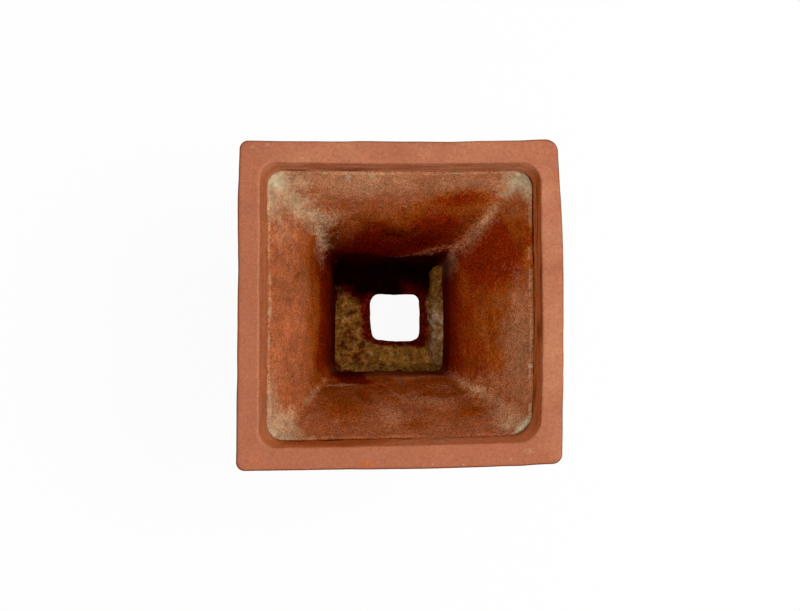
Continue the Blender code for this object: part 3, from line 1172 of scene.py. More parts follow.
@dataclass(frozen=True)
class SeamCoils:
    """Thin coils pressed into the inner corners and smeared out to a feather edge on both walls."""

    inside: Inside
    warp: HandWarp
    rows: int = 190
    face_points: int = 30
    mouth_radius: tuple[float, ...] = (3.4 * MM, 2.9 * MM, 3.2 * MM, 4.2 * MM)
    waist_radius: float = 1.6 * MM
    widening_start: float = 2.0 * MM
    swell: float = 0.12 * MM
    fullness: float = 0.6
    press: float = 0.5
    press_cell: float = 4.0 * MM
    feather: float = -0.10 * MM
    root: float = 0.35 * MM
    top_gap: float = 0.25 * MM

    def surface(self, corner: Corner) -> Surface:
        """One coil: up its corner, and round its section over the hollow face and back along the walls.

        The face is an arc that touches both walls. It swells in its middle and dips under the walls at its
        edges, where sin(2 angle) falls to nothing.

        Args:
            corner: Which corner.

        Returns:
            The coil as a closed surface.
        """
        inside, shape = self.inside, self.inside.shape
        first, second = corner.sides()
        z = np.linspace(shape.wall_bottom, shape.wall_top - self.top_gap, self.rows)[:, None]
        half_x = inside.half(first, z)
        half_y = inside.half(second, z)
        climb = eased(shape.waist_height - self.widening_start, shape.wall_top, z)
        radius = self.waist_radius + (self.mouth_radius[corner.value] - self.waist_radius) * climb
        angle = np.linspace(0.0, math.pi / 2, self.face_points)[None, :]
        ways = placed(np.cos(angle), np.sin(angle), np.zeros_like(z))
        centre = placed(half_x - radius, half_y - radius, z)
        nominal = turned(centre + radius[..., None] * ways, corner.value)
        middle = np.sin(2.0 * angle)
        pressed = 1.0 + self.press * layered_noise(nominal, self.press_cell, Seed.SEAM_PRESS, 2)
        rise = self.feather + (self.swell - self.feather) * middle**self.fullness * pressed
        out = inside.lumps(nominal) - rise
        face = nominal + out[..., None] * turned(ways, corner.value)
        masks = inside.masks(nominal)

        t = np.linspace(1.0, 0.0, self.face_points)[None, :]
        bend = np.clip(2.0 * t, 0.0, 1.0)
        turn = np.clip(2.0 - 2.0 * t, 0.0, 1.0)
        back_x = half_x + self.root - radius * (1.0 - turn)
        back_y = half_y + self.root - radius * (1.0 - bend)
        back = turned(placed(back_x, back_y, z), corner.value)
        grid = self.warp.moved(np.concatenate((face, back), axis=1))
        return Surface(f"seam_coil_{corner.name.lower()}", grid, joined(masks, masks), False)

    def build(self) -> None:
        """Makes and dresses the four corner coils."""
        material = COIL_FINISH.material()
        for corner in Corner:
            self.surface(corner).piece(material, "coil_clay")


@dataclass(frozen=True)
class Rings:
    """Closed outlines with four sides and four round corners, matched point by point."""

    arc_points: int = 26
    side_points: int = 130

    def outlines(self, halves: np.ndarray, radii: np.ndarray) -> np.ndarray:
        """Outlines for a whole section at once.

        Each corner is a quarter circle about its own centre, and each side a straight run to the next corner.

        Args:
            halves: Half widths to the front, right, back and left, each with one value a section point.
            radii: Corner radii from the back right corner round, each with one value a section point.

        Returns:
            Array of stations round the outline, section points, and x, y.
        """
        turn = np.linspace(0.0, math.pi / 2, self.arc_points)[:, None]
        run = (np.arange(1, self.side_points + 1) / (self.side_points + 1))[:, None]
        quarters = []
        for corner in Corner:
            first, second = corner.sides()
            third = second.neighbour(1)
            radius = radii[corner.value]
            ahead = radii[(corner.value + 1) % len(Corner)]
            along, beside = halves[first.value], halves[second.value]
            arc_x = along - radius + radius * np.cos(turn)
            arc_y = beside - radius + radius * np.sin(turn)
            run_x = (along - radius) * (1.0 - run) - (halves[third.value] - ahead) * run
            run_y = np.broadcast_to(beside, run_x.shape)
            x, y = np.concatenate((arc_x, run_x)), np.concatenate((arc_y, run_y))
            quarters.append(turned(placed(x, y, 0.0), corner.value)[..., :2])
        return np.concatenate(quarters)


@dataclass(frozen=True)
class RimFrame:
    """The flat rim: a hand-trimmed frame with a steep inner lip and a fine groove above the walls."""

    inside: Inside
    warp: HandWarp
    top_inner: float = 27.8 * MM
    edge_radius: float = 0.75 * MM
    inner_edge: float = 0.50 * MM
    lip_foot: float = 3.4 * MM
    groove: float = 0.32 * MM
    lip_clear: float = 0.30 * MM
    corner_radii: tuple[float, ...] = (2.5 * MM, 1.7 * MM, 1.7 * MM, 1.9 * MM)
    lip_radii: tuple[float, ...] = (3.9 * MM, 3.3 * MM, 3.6 * MM, 4.4 * MM)
    # Lip damp by side, set with the lip's dust and shade so that its tone stands in for how light falls on
    # each side: damp and painted light
    lip_damp_and_light: tuple[float, ...] = (0.70, 0.82, 0.60, 0.52)
    # Painted shade in the groove under the lip, by side
    groove_shade: tuple[float, ...] = (0.62, 0.90, 0.65, 0.20)
    line_depth: tuple[float, ...] = (1.00 * MM, 0.45 * MM, 0.35 * MM, 0.35 * MM)
    # Lip dust by side, brightest at the back as painted light, and painted shade on the front and right lips
    lip_dust_and_light: tuple[float, ...] = (0.24, 0.0, 0.50, 0.25)
    lip_painted_shade: tuple[float, ...] = (0.10, 0.17, 0.0, 0.0)
    # Top dust by side, paler to the right and back as painted light; the worn inner edge is also a painted
    # highlight
    top_dust_and_light: tuple[float, ...] = (0.05, 0.45, 0.32, 0.0)
    worn_edge_and_highlight: tuple[float, ...] = (0.15, 0.20, 0.35, 0.60)
    lip_turn: float = 160.0
    lip_start: tuple[float, float] = (0.06, 0.66)
    ripple: float = 0.07 * MM
    ripple_cell: float = 5.0 * MM
    top_cell: float = 7.0 * MM
    top_ripple: float = 0.5
    top_drop: float = 0.75
    marks_cell: float = 6.0 * MM
    top_damp: float = 0.12
    worn_place: float = 0.30 * MM
    worn_reach: float = 0.25 * MM
    lip_zone: tuple[float, float] = (0.08 * MM, 0.55 * MM)
    lip_back: float = 0.4 * MM
    streak_cell: float = 5.0 * MM
    streak_stretch: tuple[float, float, float] = (1.0, 1.0, 12.0)
    streak_damp: float = 0.45
    streak_dust: float = 1.6
    streak_shade: float = 1.5
    streak_soot: float = 0.16
    line_cell: float = 3.0 * MM
    line_wander: float = 0.35 * MM
    line_blend: float = 0.1 * MM
    edge_zone: tuple[float, float] = (0.06 * MM, 0.34 * MM)
    edge_reach: float = 0.6 * MM
    edge_fade: float = 0.8
    edge_fade_zone: tuple[float, float] = (0.7 * MM, 1.8 * MM)
    # Painted shade along the rounded outer edge
    edge_shade: float = 0.6

    def section(self) -> tuple[np.ndarray, np.ndarray]:
        """The section once round, from the outer bottom edge up, over the top and down the lip.

        Returns:
            Points as (half width, height), and for each the share of it that follows the walls' own mouth
            rather than the rim's outline.
        """
        shape = self.inside.shape
        outer, low, high = shape.rim_half, shape.rim_bottom, shape.rim_top
        edge, small = self.edge_radius, self.inner_edge
        mouth = shape.mouth_half + self.lip_clear
        foot = high - self.lip_foot
        seat = mouth + self.groove
        lip_start = (self.top_inner + self.lip_start[0] * small, high - self.lip_start[1] * small)
        # Each run with its count of points, then the share at its start and at its end
        parts = [
            (arc((outer - edge, low + edge), edge, -90, 0, 8), 0.0, 0.0),
            (line((outer, low + edge), (outer, high - edge), 12), 0.0, 0.0),
            (arc((outer - edge, high - edge), edge, 0, 90, 12), 0.0, 0.0),
            (line((outer - edge, high), (self.top_inner + small, high), 18), 0.0, 0.0),
            (arc((self.top_inner + small, high - small), small, 90, self.lip_turn, 10), 0.0, 0.0),
            (line(lip_start, (mouth, foot), 20), 0.0, 1.0),
            (line((mouth, foot), (seat, foot - self.groove), 4), 1.0, 1.0),
            (line((seat, foot - self.groove), (seat, low), 4), 1.0, 1.0),
            (line((seat, low), (outer - edge, low), 16), 1.0, 0.0),
        ]
        points = np.concatenate([part[0] for part in parts])
        share = np.concatenate([np.linspace(a, b, len(p), endpoint=False) for p, a, b in parts])
        return points, share

    def build(self) -> None:
        """Makes and dresses the rim."""
        shape = self.inside.shape
        points, share = self.section()
        half, height = points.T
        own_mouth = np.array(self.inside.top_halves)[:, None] - shape.mouth_half
        halves = half + share * own_mouth
        inward = eased(shape.rim_half - self.edge_radius, self.top_inner + self.inner_edge, half)
        outer_radius = np.array(self.corner_radii)[:, None]
        lip_radius = np.array(self.lip_radii)[:, None]
        radii = outer_radius + (lip_radius - outer_radius) * inward
        flat = Rings().outlines(halves, radii)
        nominal = placed(flat[..., 0], flat[..., 1], height)
        grid = nominal + self.unevenness(nominal)
        surface = Surface("rim_frame", self.warp.moved(grid), self.masks(nominal, half, height), True)
        surface.piece(RIM_FINISH.material(), "rim_clay")

    def unevenness(self, points: np.ndarray) -> np.ndarray:
        """Trimming marks: ripples of the edges, and a top that is not quite flat.

        Args:
            points: Array whose last axis is x, y, z.

        Returns:
            Moves, in the shape of points.
        """
        side = self.ripple * layered_noise(points, self.ripple_cell, Seed.RIM_X, 2)
        other = self.ripple * layered_noise(points, self.ripple_cell, Seed.RIM_Y, 2)
        up = self.top_ripple * self.ripple * layered_noise(points, self.top_cell, Seed.RIM_TOP, 2)
        return np.stack((side, other, up - self.top_drop * self.ripple), axis=-1)

    def masks(self, points: np.ndarray, half: np.ndarray, height: np.ndarray) -> Masks:
        """Marks of use and painted light: a dusty top that is paler to the right and back as painted light, a
        worn edge that is also a painted highlight, a lip whose damp, dust and shade by side stand in for how
        light falls on it, and painted shade in the groove and along the outer edge.

        Args:
            points: Array whose last axis is x, y, z.
            half: Half width of each section point.
            height: Height of each section point.

        Returns:
            The masks, in the shape of points without its last axis.
        """
        shape = self.inside.shape
        uneven = layered_noise(points, self.marks_cell, Seed.RIM_MARKS)
        drawn_out = points * np.array(self.streak_stretch)
        streaks = layered_noise(drawn_out, self.streak_cell, Seed.LIP_STREAKS, 2)
        depth = shape.rim_top - height
        lip = eased(*self.lip_zone, depth) * (half < self.top_inner + self.lip_back)
        edge = eased(*self.edge_zone, depth) * (half > shape.rim_half - self.edge_reach)
        edge = edge * (1.0 - self.edge_fade * eased(*self.edge_fade_zone, depth))
        # Painted shade in the groove under the lip, along a wandering line
        wander = depth + self.line_wander * layered_noise(points, self.line_cell, Seed.GROOVE_LINE, 3)
        start = self.lip_foot - by_side(points, self.line_depth)
        groove = eased(start, self.lip_foot + self.line_blend, wander) * (half < self.top_inner)
        # Pale rubbed line at the inner edge: wear and a painted highlight
        rubbed = bell(half - self.top_inner - self.worn_place, self.worn_reach) * (1.0 - lip)
        # Dusty top, paler to the right and back as painted light
        top = by_side(points, self.top_dust_and_light) * (1.0 + uneven)
        top = np.maximum(top, by_side(points, self.worn_edge_and_highlight) * rubbed)
        # Lip dust, damp and shade by side: dust and damp with painted light and painted shade
        dust = by_side(points, self.lip_dust_and_light) * lip * (1.0 + self.streak_dust * streaks)
        damp = by_side(points, self.lip_damp_and_light) + self.streak_damp * streaks
        shade = by_side(points, self.lip_painted_shade) * (1.0 + self.streak_shade * streaks)
        shade = shade + self.streak_soot * np.maximum(streaks, 0.0)
        # Painted shade along the rounded outer edge, on both damp and soot
        stained = self.edge_shade * edge
        masks = {
            Mark.DAMP.value: damp * lip + self.top_damp * uneven + stained,
            Mark.DUST.value: top * (1.0 - lip) + dust,
            Mark.LIME.value: np.zeros(uneven.shape),
            Mark.SOOT.value: by_side(points, self.groove_shade) * groove + shade * lip + stained,
        }
        for stain in RIM_STAINS:
            masks[stain.mark.value] = stain.laid_on(masks[stain.mark.value], points, uneven)
        return masks


@dataclass(frozen=True)
class Crust:
    """The mineral crust on the floor and its coils: heaped grains, worn patches, and black at the back that
    is old soil and painted shadow.
    """

    grain_cell: float = 1.0 * MM
    grain_limit: float = 1.2
    marks_cell: float = 3.0 * MM
    pit_zone: tuple[float, float] = (0.4, -0.9)
    wear: float = 0.05
    wear_swing: float = 0.2
    wear_limit: float = 0.80
    pit_wear: float = 0.42
    left_wear: float = 0.16
    left_zone: tuple[float, float] = (-6.0 * MM, -9.0 * MM)
    puddle: tuple[float, float] = (-9.5 * MM, -8.8 * MM)
    puddle_reach: float = 4.2 * MM
    puddle_wear: float = 0.48
    puddle_break: tuple[float, float] = (-0.6, 0.6)
    soil_shadow_places: tuple[float, ...] = (-9.5 * MM, -7.0 * MM, 1.0 * MM, 4.0 * MM)
    soil_shadow_edge: tuple[float, ...] = (0.8 * MM, -1.8 * MM, -1.8 * MM, 0.8 * MM)
    soil_shadow_cell: float = 3.0 * MM
    soil_shadow_wander: float = 1.8 * MM
    soil_shadow_blend: float = 6.0 * MM
    fade_start: float = 1.6 * MM
    black_start: float = 3.6 * MM

    def relief(self, points: np.ndarray) -> np.ndarray:
        """Height of the crust, from about -1 in the pits to 1 on the heaped grains."""
        grains = layered_noise(points, self.grain_cell, Seed.CRUST, 3)
        return np.clip(grains, -self.grain_limit, self.grain_limit)

    def pits(self, relief: np.ndarray) -> np.ndarray:
        """How deep in a pit each height of the crust is, from 0 to 1."""
        return eased(*self.pit_zone, relief)

    def unevenness(self, points: np.ndarray) -> np.ndarray:
        """Broad unevenness of the floor's marks, about 0."""
        return layered_noise(points, self.marks_cell, Seed.FLOOR_MARKS)

    def worn(self, points: np.ndarray, relief: np.ndarray) -> np.ndarray:
        """How thin the crust is: gone in some pits, thinner along the left wall and where a puddle stood.

        Args:
            points: Array whose last axis is x, y, z.
            relief: Height of the crust from about -1 to 1.

        Returns:
            Shares in the shape of points without its last axis.
        """
        uneven = self.unevenness(points)
        x, y = points[..., 0], points[..., 1]
        left = self.left_wear * eased(*self.left_zone, x)
        stood = bell(np.hypot(x - self.puddle[0], y - self.puddle[1]), self.puddle_reach)
        puddle = self.puddle_wear * stood * eased(*self.puddle_break, uneven)
        thin = self.wear + left + puddle + self.pit_wear * self.pits(relief) + self.wear_swing * uneven
        return np.clip(thin, 0.0, self.wear_limit)

    def blackened(self, points: np.ndarray, start: float) -> np.ndarray:
        """How far the back part of the floor is lost to black, old soil and painted shadow of the back wall,
        beyond an uneven edge.

        Args:
            points: Array whose last axis is x, y, z.
            start: Distance from the middle to the back at which the change begins.

        Returns:
            Shares in the shape of points without its last axis.
        """
        # Painted shadow of the back wall, with soil, beyond an uneven edge
        uneven = layered_noise(points, self.soil_shadow_cell, Seed.SOIL_SHADOW_EDGE)
        edge = start + np.interp(points[..., 0], self.soil_shadow_places, self.soil_shadow_edge)
        return eased(0.0, self.soil_shadow_blend, points[..., 1] - edge + self.soil_shadow_wander * uneven)


@dataclass(frozen=True)
class FloorCoils:
    """Lumpy coils along the four edges of the floor, each with its own thickness, roundness and paleness."""

    inside: Inside
    warp: HandWarp
    crust: Crust
    lumps: tuple[float, ...] = (0.45 * MM, 0.60 * MM, 0.30 * MM, 0.40 * MM)
    lump_cell: float = 2.6 * MM
    swells: tuple[float, ...] = (-0.6 * MM, 0.6 * MM, -0.4 * MM, -0.8 * MM)
    rounds: tuple[float, ...] = (0.1, 1.0, 0.5, 0.1)
    tails: tuple[float, ...] = (0.0, 1.0 * MM, 0.0, 0.0)
    taper: float = 1.5 * MM
    tip: float = 0.35
    sunk: float = 0.2 * MM
    tucked: float = 0.3 * MM
    shortened: float = 1.2 * MM
    grain: float = 0.16 * MM
    grain_cell: float = 1.4 * MM
    pale: tuple[float, ...] = (0.30, 0.95, 0.0, 0.10)
    pale_clean: float = 0.75
    pale_dust: float = 0.7
    # Where the coil's crust thins to dark clay towards the wall, as painted shade
    wall_shade_zone: tuple[float, float] = (0.7, 1.1)
    top_cell: float = 2.0 * MM
    wall_shade_wander: float = 0.4
    lime: float = 0.06
    pale_lime: float = 0.02
    front_lime: float = 0.16
    front_zone: tuple[float, float] = (4.0 * MM, -6.0 * MM)
    lump_lime: float = 0.56
    lump_place: float = -1.3 * MM
    lump_reach: float = 4.0 * MM
    heap_zone: tuple[float, float] = (-1.1, 0.4)
    stations: int = 110
    points: int = 26

    def surface(self, side: Side) -> Surface:
        """A coil along one wall: a quarter round whose radius swells and shrinks along its length.

        The face blends from a straight slope to a quarter circle, and the back runs down the wall and in
        under the coil.

        Args:
            side: The wall that it lies along.

        Returns:
            The coil as a closed surface.
        """
        shape, n = self.inside.shape, side.value
        name = f"floor_coil_{side.name.lower()}"
        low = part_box(name)[0].z - self.sunk
        reach = shape.shaft_half - self.shortened
        along = np.linspace(-reach, reach + self.tails[n], self.stations)[:, None]
        angle = np.linspace(0.0, math.pi / 2, self.points)[None, :]
        beads = layered_noise(placed(along, 0.0, 0.0), self.lump_cell, Seed.COIL_BEADS + n, 2)
        radius = shape.coil_radius + self.swells[n] + self.lumps[n] * beads
        end = np.minimum(along - along[0], along[-1] - along) / self.taper
        dome = np.sqrt(1.0 - (1.0 - np.clip(end, 0.0, 1.0)) ** 2)
        radius = radius * (self.tip + (1.0 - self.tip) * dome)
        wall = shape.shaft_half + self.tucked
        full = self.rounds[n]
        slope = 2.0 * angle / math.pi
        out = wall - radius * (full * np.cos(angle) + (1.0 - full) * (1.0 - slope))
        face = placed(along, -out, low + radius * (full * np.sin(angle) + (1.0 - full) * slope))
        heaped = layered_noise(face, self.grain_cell, Seed.COIL_GRAIN + n, 3)
        face[..., 1] += self.grain * heaped * np.cos(angle)
        face[..., 2] += self.grain * heaped * np.sin(angle)
        t = np.linspace(0.0, 1.0, self.points)[None, :]
        down = np.clip(2.0 * t, 0.0, 1.0)
        under = np.clip(2.0 * t - 1.0, 0.0, 1.0)
        back = placed(along, radius * under - wall, low + radius * (1.0 - down))
        face, back = turned(face, n), turned(back, n)
        hidden = {Mark.DAMP: 1.0, Mark.DUST: 0.0, Mark.LIME: 0.0, Mark.SOOT: 1.0}
        unseen = {mark.value: np.full(heaped.shape, value) for mark, value in hidden.items()}
        masks = joined(self.masks(side, face, along, slope, heaped), unseen)
        grid = self.warp.moved(np.concatenate((face, back), axis=1))
        return Surface(name, grid, masks, False)

    def masks(
        self, side: Side, face: np.ndarray, along: np.ndarray, slope: np.ndarray, heaped: np.ndarray
    ) -> Masks:
        """Marks on a coil's face: crust that thins towards its top as painted shade where it meets the wall,
        lime on its lumps, soil and painted shadow at the back.

        Args:
            side: The wall that the coil lies along.
            face: Points of its face.
            along: Place of each station along the wall.
            slope: Place of each section point, from 0 at the floor to 1 at the wall.
            heaped: Height of its grain, about 0.

        Returns:
            The masks, in the shape of face without its last axis.
        """
        crust, pale = self.crust, self.pale[side.value]
        ragged = self.wall_shade_wander * layered_noise(face, self.top_cell, Seed.COIL_WALL_SHADE)
        # Painted shade: towards the wall the crust thins to the dark clay beneath
        thin = crust.worn(face, crust.relief(face)) + eased(*self.wall_shade_zone, slope + ragged)
        black = crust.blackened(face, crust.fade_start) * (1.0 - self.pale_clean * pale)
        forward = self.front_lime * eased(*self.front_zone, along)
        lumpy = self.lump_lime * bell(along - self.lump_place, self.lump_reach)
        lime = self.lime + pale**2 * (self.pale_lime + forward + lumpy)
        dust = np.clip(1.0 - (1.0 - self.pale_dust * pale) * thin, 0.0, 1.0)
        return {
            Mark.DAMP.value: np.ones(thin.shape),
            Mark.DUST.value: dust * (1.0 - black),
            Mark.LIME.value: lime * eased(*self.heap_zone, heaped) * (1.0 - black),
            Mark.SOOT.value: black,
        }


@dataclass(frozen=True)
class Floor:
    """The floor slab under its crust, with a hand-cut drain hole, and the coils along its edges."""

    inside: Inside
    warp: HandWarp
    crust: Crust = Crust()
    crust_height: float = 0.14 * MM
    crust_blend: float = 0.2 * MM
    wall_seat: float = 1.0 * MM
    hole_middle: tuple[float, float] = (0.99 * MM, 0.02 * MM)
    hole_half: tuple[float, float] = (6.25 * MM, 5.95 * MM)
    hole_radii: tuple[float, ...] = (1.9 * MM, 2.4 * MM, 1.9 * MM, 2.7 * MM)
    hole_pull: float = 0.48 * MM
    hole_pull_round: float = 0.7
    hole_rough: float = 0.12 * MM
    hole_cell: float = 3.0 * MM
    chamfer: float = 1.3 * MM
    bare: tuple[float, ...] = (0.8 * MM, 1.3 * MM, 1.5 * MM, 1.2 * MM)
    bare_start: tuple[float, ...] = (-0.9 * MM, 0.1 * MM, 0.1 * MM, 0.1 * MM)
    bare_bevel: tuple[float, ...] = (0.60, 0.90, 0.90, 0.90)
    bare_blend: tuple[float, float] = (-0.5, 1.4)
    bare_shift: float = -0.3
    bare_wander: float = 0.9
    inner_reach: float = 1.0 * MM
    inner_rise: float = 0.5 * MM
    heap_lime: float = 0.10
    heap_zones: tuple[tuple[float, float], ...] = ((-0.2, 0.9), (0.4, 1.0))
    pit_soot: float = 0.10
    worn_soot: float = 0.40
    outer_damp: float = 0.25
    outer_damp_swing: float = 0.15
    arc_points: int = 24
    side_points: int = 80

    def slab(self) -> Surface:
        """The slab: round it, and over its section from the outer bottom up, over the top and down the hole.

        The section's inner part follows the hole's own outline, and its outer part the base.

        Returns:
            The slab as a closed ring.
        """
        shape = self.inside.shape
        base, low, top = shape.base_half, shape.floor_bottom, shape.floor_top
        wide = self.hole_half[0]
        lip = wide + self.chamfer
        # Each run with its count of points
        parts = [
            line((base, low), (base, top), 8),
            line((base, top), (lip, top), 70),
            line((lip, top), (wide, top - self.chamfer), 12),
            line((wide, top - self.chamfer), (wide, low), 10),
            line((wide, low), (base, low), 24),
        ]
        half, height = np.concatenate(parts).T
        near = np.clip((base - half) / (base - lip), 0.0, 1.0)
        squeeze = np.array((self.hole_half[1], self.hole_half[0]) * 2)[:, None] - wide
        halves = half + near * squeeze
        spare = np.array(self.hole_radii)[:, None] - shape.body_radius
        radii = shape.body_radius + spare * near
        flat = Rings(self.arc_points, self.side_points).outlines(halves, radii)
        front_left = np.clip(-flat / self.hole_half[0], 0.0, 1.0)
        pull = self.hole_pull * (front_left[..., :1] * front_left[..., 1:]) ** self.hole_pull_round
        flat = flat + near[:, None] * (np.array(self.hole_middle) + pull)
        nominal = placed(flat[..., 0], flat[..., 1], height)
        relief = self.crust.relief(nominal)
        upper = eased(top - self.chamfer, top - self.crust_blend, height) * (half < base - self.wall_seat)
        ragged = near * layered_noise(nominal, self.hole_cell, Seed.HOLE_EDGE, 2) * self.hole_rough
        grid = nominal.copy()
        grid[..., 2] += self.crust_height * relief * upper
        grid[..., :2] *= (1.0 + ragged / np.maximum(half, wide))[..., None]
        masks = self.slab_masks(nominal, relief, half, height)
        return Surface("floor_slab", self.warp.moved(grid, 1.0 - near), masks, True)

    def slab_masks(
        self, points: np.ndarray, relief: np.ndarray, half: np.ndarray, height: np.ndarray
    ) -> Masks:
        """Marks on the slab: inside, crust on the heaped grains and dark clay in the pits and round the hole.

        Outside it is bare clay with the walls' own lime.

        Args:
            points: Array whose last axis is x, y, z.
            relief: Height of the crust from about -1 to 1.
            half: Half width of each section point.
            height: Height of each section point.

        Returns:
            The masks, in the shape of points without its last axis.
        """
        shape, crust = self.inside.shape, self.crust
        uneven = crust.unevenness(points)
        lip = self.hole_half[0] + self.chamfer
        local = points - np.array((*self.hole_middle, 0.0))
        margin = (half - lip - by_side(local, self.bare_start)) / by_side(local, self.bare)
        bare = 1.0 - eased(*self.bare_blend, margin + self.bare_shift + self.bare_wander * uneven)
        climb = (height - shape.floor_top + self.chamfer) / self.chamfer
        below = 1.0 - eased(0.0, 1.0, climb / by_side(local, self.bare_bevel))
        cut = np.maximum(bare, below)
        rising = eased(shape.floor_bottom, shape.floor_bottom + self.inner_rise, height)
        inner = (half < shape.shaft_half + self.inner_reach) * rising
        thin = crust.worn(points, relief)
        dark = np.clip(np.maximum(thin, cut), 0.0, 1.0)
        # Black at the back: soil and painted shadow
        black = crust.blackened(points, crust.black_start)
        shown = inner * (1.0 - dark) * (1.0 - crust.blackened(points, crust.fade_start))
        heaped = sum(self.heap_lime * eased(*zone, relief) for zone in self.heap_zones)
        soiled = (self.pit_soot * crust.pits(relief) + self.worn_soot * thin) * (1.0 - cut)
        outer_damp = self.outer_damp + self.outer_damp_swing * uneven
        return {
            Mark.DAMP.value: inner + (1.0 - inner) * outer_damp,
            Mark.DUST.value: shown,
            Mark.LIME.value: shown * heaped + (1.0 - inner) * Outside(shape).lime_bloom(points),
            Mark.SOOT.value: inner * np.maximum(black, soiled),
        }

    def build(self) -> None:
        """Makes and dresses the slab and its four coils."""
        material = FLOOR_FINISH.material()
        self.slab().piece(material, "floor_clay")
        coils = FloorCoils(self.inside, self.warp, self.crust)
        for side in Side:
            coils.surface(side).piece(material, "coil_clay")


@dataclass(frozen=True)
class Feet:
    """Four bracket feet, each an L in plan whose arms a round cove cuts short towards the ground."""

    inside: Inside
    warp: HandWarp
    arm_top: float = 11.0 * MM
    arm_bottom: float = 7.2 * MM
    arm_width: float = 5.0 * MM
    round_off: float = 0.6 * MM
    tenon: float = 0.2 * MM
    rough: float = 0.08 * MM
    rough_cell: float = 4.0 * MM
    rough_start: float = 1.0 * MM
    rough_span: float = 20.0 * MM
    damp: tuple[float, float] = (0.4, 0.3)
    dust: float = 0.5
    dust_top: float = 2.0 * MM
    lime: float = 0.35
    lime_height: float = 2.0 * MM
    lime_reach: float = 2.0 * MM
    rows: int = 40
    run_points: int = 22
    cap_rings: int = 12

    def outline(self, height: np.ndarray) -> np.ndarray:
        """The L in plan at each height, with its arm length following a quarter circle.

        Args:
            height: Heights, one a row.

        Returns:
            Array of rows, points, and x, y, z at the back right corner.
        """
        shape = self.inside.shape
        rise = np.clip(height / shape.foot_top, 0.0, 1.0)
        arm = self.arm_bottom + (self.arm_top - self.arm_bottom) * (1.0 - np.sqrt(1.0 - rise**2))
        ease = self.round_off * (1.0 - np.sqrt(1.0 - (1.0 - np.clip(height / self.round_off, 0.0, 1.0)) ** 2))
        face = shape.foot_face - ease
        back = shape.foot_face - self.arm_width + ease
        end = shape.foot_face - arm + ease
        inset = shape.foot_face - shape.body_radius
        turn = np.linspace(0.0, math.pi / 2, self.run_points)
        bend = (shape.body_radius - ease)[:, None]
        t = np.linspace(0.0, 1.0, self.run_points, endpoint=False)

        def run(x0: np.ndarray, y0: np.ndarray, x1: np.ndarray, y1: np.ndarray) -> np.ndarray:
            """A straight run of points between two corners of the outline."""
            ends = [np.broadcast_to(v, height.shape)[:, None] for v in (x0, y0, x1, y1)]
            return np.stack((ends[0] * (1 - t) + ends[2] * t, ends[1] * (1 - t) + ends[3] * t), axis=-1)

        corner = np.stack((inset + bend * np.cos(turn), inset + bend * np.sin(turn)), axis=-1)
        parts = (
            run(face, end, face, inset),
            corner[:, :-1],
            run(inset, face, end, face),
            run(end, face, end, back),
            run(end, back, back, back),
            run(back, back, back, end),
            run(back, end, face, end),
        )
        flat = np.concatenate(parts, axis=1)
        z = np.broadcast_to(height[:, None, None], (*flat.shape[:2], 1))
        return np.concatenate((flat, z), axis=-1)

    def surface(self, corner: Corner) -> Surface:
        """One foot: up its height, closed below and above by rings that shrink to a point in its elbow.

        Args:
            corner: Which corner.

        Returns:
            The foot as a closed surface.
        """
        shape = self.inside.shape
        top = shape.foot_top + self.tenon
        sides = self.outline(top * np.sin(np.linspace(0.0, math.pi / 2, self.rows)))
        elbow = shape.foot_face - self.arm_width / 2
        shrink = np.linspace(0.0, 1.0, self.cap_rings, endpoint=False)[:, None, None]
        below_middle = np.array((elbow, elbow, 0.0))
        above_middle = np.array((elbow, elbow, top))
        below = below_middle + (sides[0] - below_middle) * shrink
        above = above_middle + (sides[-1] - above_middle) * shrink[::-1]
        grid = turned(np.concatenate((below, sides, above)), corner.value)
        z = grid[..., 2]
        rough = self.rough * layered_noise(grid, self.rough_cell, Seed.FOOT_FACES, 3)
        rough = rough * eased(0.0, self.rough_start, z)
        grid[..., :2] *= (1.0 + rough / self.rough_span)[..., None]
        uneven = layered_noise(grid, self.rough_cell, Seed.FOOT_MARKS)
        level, swing = self.damp
        masks = {
            Mark.DAMP.value: level + swing * uneven,
            Mark.DUST.value: self.dust * (1.0 - eased(0.0, self.dust_top, z)) * (1.0 + uneven),
            Mark.LIME.value: self.lime * (1.0 + uneven) * bell(z - self.lime_height, self.lime_reach),
            Mark.SOOT.value: np.zeros(z.shape),
        }
        return Surface(f"foot_{corner.name.lower()}", self.warp.moved(grid), masks, False)

    def build(self) -> None:
        """Makes and dresses the four feet."""
        material = FOOT_FINISH.material()
        for corner in Corner:
            self.surface(corner).piece(material, "foot_clay")


@dataclass(frozen=True)
class SoftLamp:
    """A square soft lamp that faces the middle of the rim."""

    name: str
    place: tuple[float, float, float]
    size: float
    power: float


